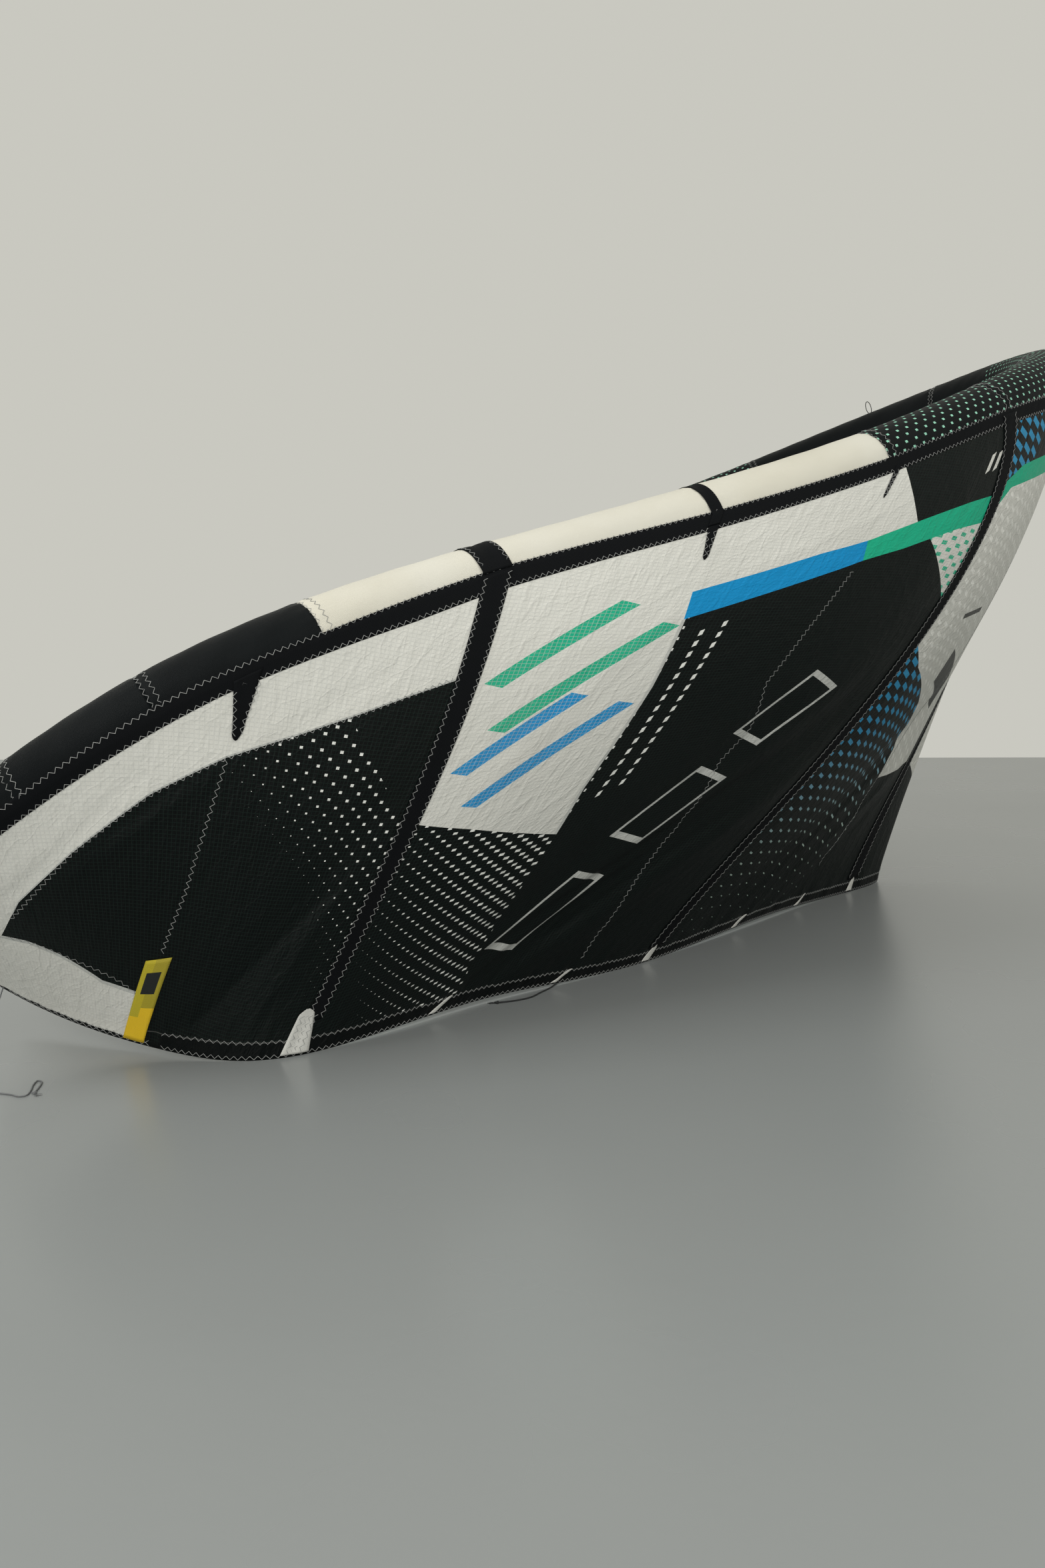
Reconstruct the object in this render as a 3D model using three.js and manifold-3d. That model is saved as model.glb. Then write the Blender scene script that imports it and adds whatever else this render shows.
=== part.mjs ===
// Inflatable kitesurfing kite standing on its trailing edge, with its leading edge tube on top.
// Millimetres, +Z up, +X the way the bulge of the arc points, the nearer half on the -Y side.
// The origin is the foot of the middle strut on the floor.

import * as THREE from 'three';
import { mergeVertices } from 'three/addons/utils/BufferGeometryUtils.js';
import Module from 'manifold-3d';

const wasm = await Module();
wasm.setup();

// Driving sizes
const HALF_SPAN = 4140;        // along the leading edge, from the middle to a tip
const STRUT_TOP = [0, 1290, 2720];   // where the struts leave the leading edge, along it
const STRUT_FOOT = [0, 1115, 2720];  // the same struts lower down, along the leading edge's scale
const STRUT_SWEEP = 8;         // how soon a strut settles on its lower line
const CLOTH = 2;               // thickness of the sail cloth
const TAPE = 1.4;              // thickness of tapes, straps and tabs
const GAP = 0.5;               // room between two pieces that touch
const LAID = 0.9;              // room under a piece that is sewn flat on the sail
const BAND_WIDTH = 48;         // black strip that closes the sail to the tube
const TUBE_SIDES = 16;
const STRUT_SIDES = 12;
const CORD_SIDES = 8;
const HEM_LIFT = 12;           // how far the hem rises off the floor between two feet
const TIP_RISE = 130;          // height of the sail's lower corner at the tip
const TIP_RISE_POWER = 3.2;
const CAMBER_PEAK = 3;         // slope factor of the camber curve at the tube
const CAMBER_POWER = 1.6;
const TUBE_BLEND_POWER = 1.2;
const BILLOW = 9;              // extra belly of the cloth halfway between two struts
const ORIGIN_OUT = -407;       // the middle strut's foot, along the bulge direction
const ORIGIN_SIDE = -18;       // the same foot, off the kite's middle plane

// Leading edge: along = distance from the middle, side / out / up = centre of the tube
const LEAD = [
  { along: 0, side: 0, out: 190, up: 1792, radius: 95 },
  { along: 1120, side: 644, out: -294, up: 1583, radius: 95 },
  { along: 1920, side: 908, out: -1076, up: 1288, radius: 91 },
  { along: 2720, side: 1139, out: -2011, up: 1015, radius: 86 },
  { along: 3440, side: 1324, out: -2675, up: 776, radius: 76 },
  { along: 4140, side: 1261, out: -3162, up: 462, radius: 56 },
];

// Trailing edge of the near half, and of the far half, which bellies out more beside the middle
const TRAIL_NEAR = [
  { along: 0, side: 0, out: -395 },
  { along: 560, side: 355, out: -925 },
  { along: 1120, side: 722, out: -1459 },
  { along: 1920, side: 988, out: -1986 },
  { along: 2720, side: 1246, out: -2453 },
  { along: 3440, side: 1169, out: -2734 },
  { along: 4140, side: 991, out: -3072 },
];
const TRAIL_FAR = [
  { along: 300, side: 185, out: -170 },
  { along: 560, side: 340, out: -420 },
  { along: 1120, side: 735, out: -1400 },
  { along: 1920, side: 988, out: -1986 },
  { along: 2720, side: 1246, out: -2453 },
  { along: 3440, side: 1169, out: -2734 },
  { along: 4140, side: 991, out: -3072 },
];

// Depth of the sail's curve as a share of the chord
const CAMBER = [
  { along: 0, share: 0.1086 },
  { along: 1120, share: 0.1086 },
  { along: 2720, share: 0.11 },
  { along: 4140, share: 0.04 },
];

// How far the closing seam sits below the line where the sail would leave the tube without a kink,
// in radians round the tube
const SEAM_TURN = [
  { along: 0, share: 0 },
  { along: 1300, share: 0 },
  { along: 1750, share: 0.18 },
  { along: 2250, share: 0.16 },
  { along: 2720, share: 0 },
  { along: 4140, share: 0 },
];

// How far the closing strip reaches up round the tube past its seam, in radians
const STRIP_WRAP = [
  { along: 0, share: 0.05 },
  { along: 3100, share: 0.05 },
  { along: 3400, share: 0.22 },
  { along: 4140, share: 0.32 },
];

// Soft folds of the cloth: a line from (along, down) to (along, down), its half width and its depth;
// down is 0 at the tube and 1 at the hem, and a negative depth is a trough
const FOLDS = [
  { fromAlong: 2060, fromDown: 0.98, toAlong: 1250, toDown: 0.52, width: 95, depth: -16 },
  { fromAlong: 2350, fromDown: 0.95, toAlong: 1600, toDown: 0.5, width: 85, depth: -10 },
  { fromAlong: 1850, fromDown: 0.98, toAlong: 1180, toDown: 0.66, width: 70, depth: 9 },
  { fromAlong: 3250, fromDown: 0.9, toAlong: 2800, toDown: 0.45, width: 80, depth: -8 },
  { fromAlong: 900, fromDown: 0.95, toAlong: 350, toDown: 0.6, width: 90, depth: -12 },
  { fromAlong: 560, fromDown: 0.98, toAlong: 120, toDown: 0.7, width: 80, depth: 8 },
  { fromAlong: -900, fromDown: 0.95, toAlong: -400, toDown: 0.55, width: 90, depth: -12 },
  { fromAlong: -1950, fromDown: 0.97, toAlong: -1300, toDown: 0.5, width: 95, depth: -14 },
  { fromAlong: -3200, fromDown: 0.9, toAlong: -2850, toDown: 0.45, width: 80, depth: -8 },
];

// Rows of the sail from the closing strip to the hem, as shares of what is left of the chord
const ROWS = [0, 0.04, 0.1, 0.17, 0.25, 0.33, 0.42, 0.51, 0.6, 0.69, 0.78, 0.86, 0.93, 1];
const TAPE_HALF = 33;          // half the width of the tape along a strut
const COLUMN_STEP = 125;       // spacing of the sail's columns
const PATCH_ROOM = 0.8;        // room under a small patch on the sail's flat facets
const INNER_SIDE = 5;          // place of a block's inner side in its list of sides
const SQUARE_CORNERS = 6;      // corners of the two triangles that make a square
const LEAD_JOINTS = [440, 1290, 1750, 2220, 2720, 3120, 3500];
const WRAP_HALF = 33;          // half the width of the wrap over the tube at the outer strut

// Colours, roughness and metalness of the pieces
const FINISH = {
  blackDacron: new THREE.MeshStandardMaterial({ color: 0x15181b, roughness: 0.62, metalness: 0 }),
  whiteDacron: new THREE.MeshStandardMaterial({ color: 0xe6e4da, roughness: 0.6, metalness: 0 }),
  blackRipstop: new THREE.MeshStandardMaterial({ color: 0x131a18, roughness: 0.5, metalness: 0 }),
  tabWhite: new THREE.MeshStandardMaterial({ color: 0xdfe0dc, roughness: 0.65, metalness: 0 }),
  tabYellow: new THREE.MeshStandardMaterial({ color: 0xc9b41e, roughness: 0.6, metalness: 0 }),
  cord: new THREE.MeshStandardMaterial({ color: 0x3c4042, roughness: 0.8, metalness: 0 }),
};

const kite = new THREE.Group();

function addPiece(name, geometry, finish) {
  const mesh = new THREE.Mesh(geometry, finish);
  mesh.name = name;
  kite.add(mesh);
}

// Natural cubic spline through (knots, values)
function naturalSpline(knots, values) {
  const last = knots.length - 1;
  const bend = new Array(last + 1).fill(0);
  const upper = new Array(last + 1).fill(0);
  const rest = new Array(last + 1).fill(0);
  for (let i = 1; i < last; i += 1) {
    const before = knots[i] - knots[i - 1];
    const after = knots[i + 1] - knots[i];
    const rise = (values[i + 1] - values[i]) / after - (values[i] - values[i - 1]) / before;
    const pivot = 2 * (before + after) - before * upper[i - 1];
    upper[i] = after / pivot;
    rest[i] = (6 * rise - before * rest[i - 1]) / pivot;
  }
  for (let i = last - 1; i > 0; i -= 1) bend[i] = rest[i] - upper[i] * bend[i + 1];
  return (x) => {
    let i = 0;
    while (i < last - 1 && x > knots[i + 1]) i += 1;
    const span = knots[i + 1] - knots[i];
    const right = (x - knots[i]) / span;
    const left = 1 - right;
    const curve = (left ** 3 - left) * bend[i] + (right ** 3 - right) * bend[i + 1];
    return left * values[i] + right * values[i + 1] + (curve * span * span) / 6;
  };
}

// The far half's rows, mirrored, followed by the near half's
function acrossSpan(near, far, column) {
  const sign = column === 'side' || column === 'along' ? -1 : 1;
  const mirrored = far.map((row) => sign * row[column]).reverse();
  return mirrored.concat(near.map((row) => row[column]));
}

function spanSpline(near, far, column) {
  return naturalSpline(acrossSpan(near, far, 'along'), acrossSpan(near, far, column));
}

const leadFar = LEAD.slice(1);
const leadSide = spanSpline(LEAD, leadFar, 'side');
const leadOut = spanSpline(LEAD, leadFar, 'out');
const leadUp = spanSpline(LEAD, leadFar, 'up');
const leadRadius = spanSpline(LEAD, leadFar, 'radius');
const trailSide = spanSpline(TRAIL_NEAR, TRAIL_FAR, 'side');
const trailOut = spanSpline(TRAIL_NEAR, TRAIL_FAR, 'out');

const fromKite = (side, out, up) => new THREE.Vector3(out - ORIGIN_OUT, ORIGIN_SIDE - side, up);
const leadCentre = (along) => fromKite(leadSide(along), leadOut(along), leadUp(along));

function shareAlong(table, along) {
  const place = Math.min(Math.abs(along), HALF_SPAN);
  let i = 0;
  while (i < table.length - 2 && place > table[i + 1].along) i += 1;
  const part = (place - table[i].along) / (table[i + 1].along - table[i].along);
  return table[i].share + part * (table[i + 1].share - table[i].share);
}

// Height of the hem: on the floor at the feet, a little up between them, rising towards a tip
function hemHeight(along) {
  const place = Math.abs(along);
  const outer = STRUT_FOOT[2];
  if (place >= outer) return TIP_RISE * ((place - outer) / (HALF_SPAN - outer)) ** TIP_RISE_POWER;
  const inner = place < STRUT_FOOT[1] ? 0 : 1;
  const part = (place - STRUT_FOOT[inner]) / (STRUT_FOOT[inner + 1] - STRUT_FOOT[inner]);
  return HEM_LIFT * Math.sin(Math.PI * part) ** 2;
}

// Everything about one station: tube centre and radius, chord, outward and downward directions
function stationAt(along) {
  const centre = leadCentre(along);
  const tangent = leadCentre(along + 1).sub(leadCentre(along - 1)).normalize();
  const foot = fromKite(trailSide(along), trailOut(along), hemHeight(along));
  const chord = foot.clone().sub(centre);
  const length = chord.length();
  const chordWay = chord.clone().normalize();
  const outward = tangent.clone().cross(chordWay).normalize();
  const downward = chordWay.clone().addScaledVector(tangent, -chordWay.dot(tangent)).normalize();
  const across = Math.sqrt(1 - chordWay.dot(tangent) ** 2);
  const radius = leadRadius(along);
  const camber = shareAlong(CAMBER, along);
  const slope = CAMBER_PEAK * camber - (TUBE_BLEND_POWER * radius) / length;
  const seamAngle = Math.atan(slope / across) - shareAlong(SEAM_TURN, along);
  return { centre, tangent, chordWay, length, outward, downward, radius, camber, seamAngle };
}

const stations = new Map();

function station(along) {
  if (!stations.has(along)) stations.set(along, stationAt(along));
  return stations.get(along);
}

// Fades a fold out at the struts, the tube and the hem
function foldWindow(along, down) {
  const place = Math.abs(along);
  const edges = [0, STRUT_FOOT[1], STRUT_FOOT[2], HALF_SPAN];
  let i = 0;
  while (i < 2 && place > edges[i + 1]) i += 1;
  const part = Math.min(Math.max((place - edges[i]) / (edges[i + 1] - edges[i]), 0), 1);
  const beside = Math.min(1, Math.sin(Math.PI * part) * 2.2);
  return beside * Math.min(1, Math.max(0, down - 0.05) * 6) * Math.min(1, (1 - down) * 9);
}

function foldHeight(along, down, length) {
  let height = 0;
  for (const fold of FOLDS) {
    const start = new THREE.Vector2(fold.fromAlong, fold.fromDown * length);
    const run = new THREE.Vector2(fold.toAlong, fold.toDown * length).sub(start);
    const here = new THREE.Vector2(along, down * length).sub(start);
    const part = Math.min(Math.max(here.dot(run) / run.lengthSq(), 0), 1);
    const away = here.addScaledVector(run, -part).length() / fold.width;
    height += fold.depth * Math.exp(-away * away);
  }
  return height * foldWindow(along, down);
}

function billowHeight(along, down) {
  return BILLOW * foldWindow(along, down) * Math.sin(Math.PI * down);
}

// Outer face of the sail: along the leading edge's scale, down the chord from the tube to the hem
function skin(along, down) {
  const at = station(along);
  const left = 1 - down;
  const belly = at.length * at.camber * CAMBER_PEAK * down * left ** CAMBER_POWER;
  const overTube = at.radius * Math.cos(at.seamAngle) * left ** TUBE_BLEND_POWER;
  const height = overTube + belly + foldHeight(along, down, at.length) + billowHeight(along, down);
  return at.centre.clone()
    .addScaledVector(at.chordWay, at.length * down)
    .addScaledVector(at.downward, -at.radius * Math.sin(at.seamAngle) * left ** 3)
    .addScaledVector(at.outward, height);
}

function skinOutward(along, down) {
  const stepAlong = 2;
  const stepDown = 0.001;
  const low = Math.max(down - stepDown, 0);
  const high = Math.min(down + stepDown, 1);
  const sideways = skin(along + stepAlong, down).sub(skin(along - stepAlong, down));
  const downwards = skin(along, high).sub(skin(along, low));
  const normal = downwards.cross(sideways).normalize();
  return normal.dot(station(along).outward) < 0 ? normal.negate() : normal;
}

const offSkin = (along, down, off) => skin(along, down).addScaledVector(skinOutward(along, down), off);

// A strut's place on the leading edge's scale, which bends a little near the tube
function strutAlong(strut, down) {
  const side = Math.sign(strut);
  const index = Math.abs(strut);
  const swing = STRUT_TOP[index] - STRUT_FOOT[index];
  return side * (STRUT_FOOT[index] + swing * (1 - down) ** STRUT_SWEEP);
}

const bandDown = (along) => BAND_WIDTH / station(along).length;

function rowDown(along, share) {
  const start = bandDown(along) + GAP / station(along).length;
  return start + (1 - start) * share;
}

function volumeOf(geometry) {
  const spot = geometry.attributes.position;
  const index = geometry.index;
  let total = 0;
  const corner = [0, 1, 2].map(() => new THREE.Vector3());
  for (let i = 0; i < index.count; i += 3) {
    corner.forEach((vector, k) => vector.fromBufferAttribute(spot, index.getX(i + k)));
    total += corner[0].dot(corner[1].clone().cross(corner[2]));
  }
  return total / 6;
}

// Moves every point of a plain block or cylinder to its place, and turns the faces outwards
function shaped(geometry, place) {
  geometry.deleteAttribute('normal');
  geometry.deleteAttribute('uv');
  const merged = mergeVertices(geometry, 1e-5);
  const spot = merged.attributes.position;
  const point = new THREE.Vector3();
  for (let i = 0; i < spot.count; i += 1) {
    point.fromBufferAttribute(spot, i);
    const moved = place(point);
    spot.setXYZ(i, moved.x, moved.y, moved.z);
  }
  merged.clearGroups();
  if (volumeOf(merged) < 0) {
    const order = merged.index;
    for (let i = 0; i < order.count; i += 3) {
      const second = order.getX(i + 1);
      order.setX(i + 1, order.getX(i + 2));
      order.setX(i + 2, second);
    }
  }
  merged.computeVertexNormals();
  return merged;
}

// Cuts the inner side's squares along the same diagonal as the outer side's, so that a twisted
// sheet keeps its thickness
function matchDiagonals(block) {
  const order = block.index;
  const inner = block.groups[INNER_SIDE];
  for (let i = inner.start; i < inner.start + inner.count; i += SQUARE_CORNERS) {
    const first = order.getX(i);
    const across = order.getX(i + 4);
    order.setX(i + 2, across);
    order.setX(i + 3, first);
  }
}

// A thin sheet over columns and rows; spotAt gives a point from column, row and 0 inside to 1 outside
function sheet(columns, rows, spotAt, twisted = true) {
  const block = new THREE.BoxGeometry(1, 1, 1, columns, rows, 1);
  if (twisted) matchDiagonals(block);
  return shaped(block, (point) => {
    const column = Math.round((point.x + 0.5) * columns);
    const row = Math.round((point.y + 0.5) * rows);
    return spotAt(column, row, point.z + 0.5);
  });
}

// A round solid over rings; spotAt gives a point from ring, angle and 0 on the axis to 1 outside
function roundSolid(sides, rings, spotAt) {
  const rod = new THREE.CylinderGeometry(1, 1, 1, sides, rings);
  return shaped(rod, (point) => {
    const ring = Math.round((point.y + 0.5) * rings);
    const reach = Math.hypot(point.x, point.z);
    return spotAt(ring, Math.atan2(point.x, point.z), reach);
  });
}

function toSolid(geometry) {
  const bare = geometry.clone();
  bare.deleteAttribute('normal');
  if (bare.attributes.uv) bare.deleteAttribute('uv');
  const merged = mergeVertices(bare, 1e-4);
  return new wasm.Manifold(new wasm.Mesh({
    numProp: 3,
    vertProperties: new Float32Array(merged.attributes.position.array),
    triVerts: new Uint32Array(merged.index.array),
  }));
}

function toGeometry(solid) {
  const mesh = solid.getMesh();
  const geometry = new THREE.BufferGeometry();
  geometry.setAttribute('position', new THREE.BufferAttribute(mesh.vertProperties, 3));
  geometry.setIndex(new THREE.BufferAttribute(mesh.triVerts, 1));
  geometry.computeVertexNormals();
  return geometry;
}

// Columns of one half from the middle to the tip, closer beside each strut, and one under each tab
function halfColumns(from, to, tabs) {
  const inner = from + TAPE_HALF;
  const outer = to === HALF_SPAN ? to : to - TAPE_HALF;
  const stops = [inner, ...tabs, outer];
  const columns = [from, inner];
  for (let i = 1; i < stops.length; i += 1) {
    const run = stops[i] - stops[i - 1];
    const count = Math.round(run / COLUMN_STEP);
    for (let k = 1; k <= count; k += 1) columns.push(stops[i - 1] + (run * k) / count);
  }
  if (to !== HALF_SPAN) columns.push(to);
  return columns;
}

const CELLS = [
  { name: 'centre', inner: 0, outer: 1, columns: halfColumns(STRUT_FOOT[0], STRUT_FOOT[1], [330, 700]) },
  { name: 'mid', inner: 1, outer: 2, columns: halfColumns(STRUT_FOOT[1], STRUT_FOOT[2], [1560, 2150]) },
  { name: 'tip', inner: 2, outer: 3, columns: halfColumns(STRUT_FOOT[2], HALF_SPAN, [3330, 3455]) },
];
const SIDES = [{ tag: 'near', sign: 1 }, { tag: 'far', sign: -1 }];

// Where a column lies on one row: it moves sideways with the struts, where those bend
function cellAlong(cell, sign, column, share) {
  const down = rowDown(sign * column, share);
  const inner = strutAlong(cell.inner, down) - STRUT_FOOT[cell.inner];
  const outer = cell.outer > 2 ? 0 : strutAlong(cell.outer, down) - STRUT_FOOT[cell.outer];
  const first = cell.columns[0];
  const last = cell.columns[cell.columns.length - 1];
  const part = (column - first) / (last - first);
  return sign * (column + inner * (1 - part) + outer * part);
}

// Room beside a strut's line, so that two panels don't touch
function cellTrim(cell, sign, column) {
  if (column === cell.columns[0]) return sign * GAP;
  if (cell.outer < 3 && column === cell.columns[cell.columns.length - 1]) return -sign * GAP;
  return 0;
}

// Sail panels; the corners of their facets are kept for what is sewn on them
const panels = [];
for (const { tag, sign } of SIDES) {
  for (const cell of CELLS) {
    const columns = sign > 0 ? cell.columns : cell.columns.slice().reverse();
    const corners = columns.map((place) => ROWS.map((share) => {
      const along = cellAlong(cell, sign, place, share) + cellTrim(cell, sign, place);
      return { along, down: rowDown(along, share) };
    }));
    const panel = sheet(columns.length - 1, ROWS.length - 1, (column, row, outside) => {
      const { along, down } = corners[column][row];
      return offSkin(along, down, (outside - 1) * CLOTH);
    });
    panels.push(corners);
    addPiece(`sail_${cell.name}_${tag}`, panel, FINISH.blackRipstop);
  }
}
panels.sort((one, other) => one[0][0].along - other[0][0].along);

// A point a little off the flat facets of a panel, where a small patch lies
function onPanel(along, down, off) {
  const start = rowDown(along, 0);
  const share = (down - start) / (1 - start);
  let row = 0;
  while (row < ROWS.length - 2 && share > ROWS[row + 1]) row += 1;
  const y = (share - ROWS[row]) / (ROWS[row + 1] - ROWS[row]);
  const edge = (column) => column[row].along * (1 - y) + column[row + 1].along * y;
  const corners = panels.find((each) => along <= edge(each[each.length - 1]) + GAP);
  let i = 0;
  while (i < corners.length - 2 && along > edge(corners[i + 1])) i += 1;
  const x = (along - edge(corners[i])) / (edge(corners[i + 1]) - edge(corners[i]));
  const spot = (corner) => skin(corner.along, corner.down);
  const low = spot(corners[i][row]);
  const high = spot(corners[i + 1][row + 1]);
  const third = x > y ? spot(corners[i + 1][row]) : spot(corners[i][row + 1]);
  const fromLow = third.clone().sub(low);
  const toHigh = high.clone().sub(third);
  const normal = fromLow.clone().cross(toHigh).normalize();
  const way = normal.dot(station(along).outward) < 0 ? -off : off;
  return low
    .addScaledVector(fromLow, Math.max(x, y))
    .addScaledVector(toHigh, Math.min(x, y))
    .addScaledVector(normal, way);
}

// Rings of the tube and the closing strip, in line with the columns of the sail's upper edge
function ringsOfHalf(sign) {
  const rings = [];
  for (const cell of CELLS) {
    const columns = cell.outer < 3 ? cell.columns.slice(0, -1) : cell.columns;
    for (const column of columns) rings.push(cellAlong(cell, sign, column, 0));
  }
  return rings;
}

const nearRings = ringsOfHalf(1);
const farRings = ringsOfHalf(-1);
const allRings = farRings.slice(1).reverse().concat(nearRings);
const tubeRadius = (along) => station(along).radius - CLOTH - GAP;
const sideAngle = (2 * Math.PI) / TUBE_SIDES;

// A point round one ring; turn 0 is at the closing seam, and turns run up over the top
function ringPoint(along, turn, radius) {
  const at = station(along);
  const angle = at.seamAngle + turn;
  return at.centre.clone()
    .addScaledVector(at.outward, Math.cos(angle) * radius)
    .addScaledVector(at.downward, -Math.sin(angle) * radius);
}

// A point round the tube anywhere, straight between two rings, a little off its face
function roundTube(along, turn, off, reach = 1) {
  let i = 0;
  while (i < allRings.length - 2 && along > allRings[i + 1]) i += 1;
  const before = allRings[i];
  const after = allRings[i + 1];
  const start = ringPoint(before, turn, (tubeRadius(before) + off) * reach);
  const end = ringPoint(after, turn, (tubeRadius(after) + off) * reach);
  return start.lerp(end, (along - before) / (after - before));
}

function tubeSolid(from, to, off) {
  const between = allRings.filter((along) => along > from + 1 && along < to - 1);
  const rings = [from + GAP / 2, ...between, to - GAP / 2];
  return roundSolid(TUBE_SIDES, rings.length - 1, (ring, angle, reach) => (
    roundTube(rings[ring], angle, off, reach)
  ));
}

// Leading edge tube in sewn segments
const joints = LEAD_JOINTS.slice().concat(HALF_SPAN);
addPiece('lead_0', tubeSolid(-joints[0], joints[0], 0), FINISH.blackDacron);
for (const { tag, sign } of SIDES) {
  for (let i = 0; i < joints.length - 1; i += 1) {
    const ends = [sign * joints[i], sign * joints[i + 1]].sort((a, b) => a - b);
    const pale = joints[i] >= 1750 && joints[i] < 3120;
    const finish = pale ? FINISH.whiteDacron : FINISH.blackDacron;
    addPiece(`lead_${i + 1}_${tag}`, tubeSolid(ends[0], ends[1], 0), finish);
  }
}

// Closing strip between the tube and the sail, from tip to tip; its inner diagonals are the tube's
const closingStrip = sheet(allRings.length - 1, 3, (column, row, outside) => {
  const along = allRings[column];
  if (row === 0) return roundTube(along, shareAlong(STRIP_WRAP, along), GAP + outside * CLOTH);
  return offSkin(along, (bandDown(along) * (row - 1)) / 2, (outside - 1) * CLOTH);
}, false);
addPiece('closing_strip', closingStrip, FINISH.blackDacron);

// Struts: round tubes under the sail, flat where they stand on the floor
const STRUT_RADIUS = [
  { along: 0, share: 46 },
  { along: 1800, share: 40 },
  { along: 3200, share: 27 },
  { along: 4140, share: 19 },
];
const strutRadius = (down) => shareAlong(STRUT_RADIUS, down * HALF_SPAN);
const STRIP_REACH = 260;       // half the length of the strip that a strut's end stays clear of
const FLOOR_CUT = 2000;
const floorBlock = toSolid(new THREE.BoxGeometry(3 * FLOOR_CUT, 3 * FLOOR_CUT, FLOOR_CUT)
  .translate(-1000, 0, -FLOOR_CUT / 2));
const STRUTS = [
  { name: 'strut_middle', index: 0 },
  { name: 'strut_inner_near', index: 1 },
  { name: 'strut_inner_far', index: -1 },
  { name: 'strut_outer_near', index: 2 },
  { name: 'strut_outer_far', index: -2 },
];
const strutRows = [-0.5, ...ROWS, 1.03];

function strutAxis(index, share) {
  const held = Math.min(Math.max(share, 0), 1);
  const along = strutAlong(index, rowDown(strutAlong(index, 1), held));
  const down = rowDown(along, held);
  const radius = strutRadius(down);
  const spot = offSkin(along, down, -CLOTH - GAP - radius);
  return { spot, radius, outward: skinOutward(along, down) };
}

// Room kept free for the closing strip where a strut meets the tube
function stripRoom(top) {
  const rings = allRings.filter((along) => Math.abs(along - top) < STRIP_REACH);
  return toSolid(sheet(rings.length - 1, 2, (column, row, outside) => {
    const along = rings[column];
    return offSkin(along, bandDown(along) * row, outside * STRIP_REACH / 4 - CLOTH - GAP);
  }));
}

for (const { name, index } of STRUTS) {
  const axis = strutRows.map((share) => strutAxis(index, share));
  const first = axis[1].spot.clone().sub(axis[2].spot).normalize();
  axis[0].spot.copy(axis[1].spot).addScaledVector(first, 60);
  const lastRow = axis.length - 1;
  const tail = axis[lastRow - 1].spot.clone().sub(axis[lastRow - 2].spot).normalize();
  axis[lastRow].spot.copy(axis[lastRow - 1].spot).addScaledVector(tail, 45);
  const round = roundSolid(STRUT_SIDES, lastRow, (ring, angle, reach) => {
    const at = axis[ring];
    const before = axis[Math.max(ring - 1, 0)].spot;
    const after = axis[Math.min(ring + 1, lastRow)].spot;
    const way = after.clone().sub(before).normalize();
    const outward = at.outward.clone().addScaledVector(way, -at.outward.dot(way)).normalize();
    const beside = way.clone().cross(outward);
    return at.spot.clone()
      .addScaledVector(outward, Math.cos(angle) * at.radius * reach)
      .addScaledVector(beside, Math.sin(angle) * at.radius * reach);
  });
  const top = strutAlong(index, 0);
  const clear = toSolid(tubeSolid(Math.max(top - 900, -HALF_SPAN), Math.min(top + 900, HALF_SPAN), GAP));
  const cut = toSolid(round).subtract(floorBlock).subtract(clear).subtract(stripRoom(top));
  const parts = cut.decompose().sort((a, b) => b.volume() - a.volume());
  addPiece(name, toGeometry(parts[0]), FINISH.blackDacron);
}

// The sail's first column beside a strut, on one row; way is 1 towards the near tip and -1 away from it
function besideStrut(index, way, share) {
  const order = Math.abs(index);
  const sign = index === 0 ? way : Math.sign(index);
  const outwards = index === 0 ? 1 : sign * way;
  const cell = outwards > 0 ? CELLS[order] : CELLS[order - 1];
  return cellAlong(cell, sign, STRUT_FOOT[order] + outwards * TAPE_HALF, share);
}

// Tape over the sail along each strut, ending above the tab on the strut's end
for (const { name, index } of STRUTS) {
  const rows = ROWS.length - (Math.abs(index) === 2 ? 3 : 2);
  const tape = sheet(2, rows, (column, row, outside) => {
    const share = ROWS[row];
    const middle = strutAlong(index, rowDown(strutAlong(index, 1), share));
    const along = column === 1 ? middle : besideStrut(index, column - 1, share);
    return offSkin(along, rowDown(along, share), LAID + outside * TAPE);
  });
  addPiece(name.replace('strut', 'tape'), tape, FINISH.blackDacron);
}

// Wraps over the tube at the outer struts
const TURNS_OVER = 7;          // steps round the tube that a wrap or a strap covers
for (const { tag, sign } of SIDES) {
  const wrap = sheet(2, TURNS_OVER - 1, (column, row, outside) => {
    const place = sign * STRUT_TOP[2] + (column - 1) * WRAP_HALF;
    return roundTube(place, (row + 1) * sideAngle, GAP + outside * TAPE);
  });
  addPiece(`wrap_outer_${tag}`, wrap, FINISH.blackDacron);
}

// Fingers: patches sewn on the sail below the closing strip, narrowing to a round tip; the one with
// turns is a strap that comes over the tube first
const FINGERS = [
  { name: 'finger_wide', along: 3322, root: 34, end: 15, lean: 18, length: 92, steps: 6, turns: 0 },
  { name: 'strap', along: 2220, root: 14, end: 8, lean: -12, length: 78, steps: 5, turns: TURNS_OVER },
  { name: 'finger_slim', along: 1712, root: 11, end: 6, lean: 8, length: 74, steps: 5, turns: 0 },
];
const FINGER_DROP = 3;         // from the closing strip to the root of a finger
const STEP_OVER = 2;           // room where the strap climbs over the closing strip's edge
const BLUNT = 0.45;            // width of a finger's end against the width just above it

function fingerSpot(finger, sign, column, part, off) {
  const taper = Math.min(1, part * 1.3);
  const half = (finger.root + (finger.end - finger.root) * taper) * (part > 0.99 ? BLUNT : 1);
  const along = sign * (finger.along + finger.lean * part) + (column - 1) * half;
  const drop = GAP + FINGER_DROP + finger.length * part;
  return onPanel(along, bandDown(along) + drop / station(along).length, off);
}

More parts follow.
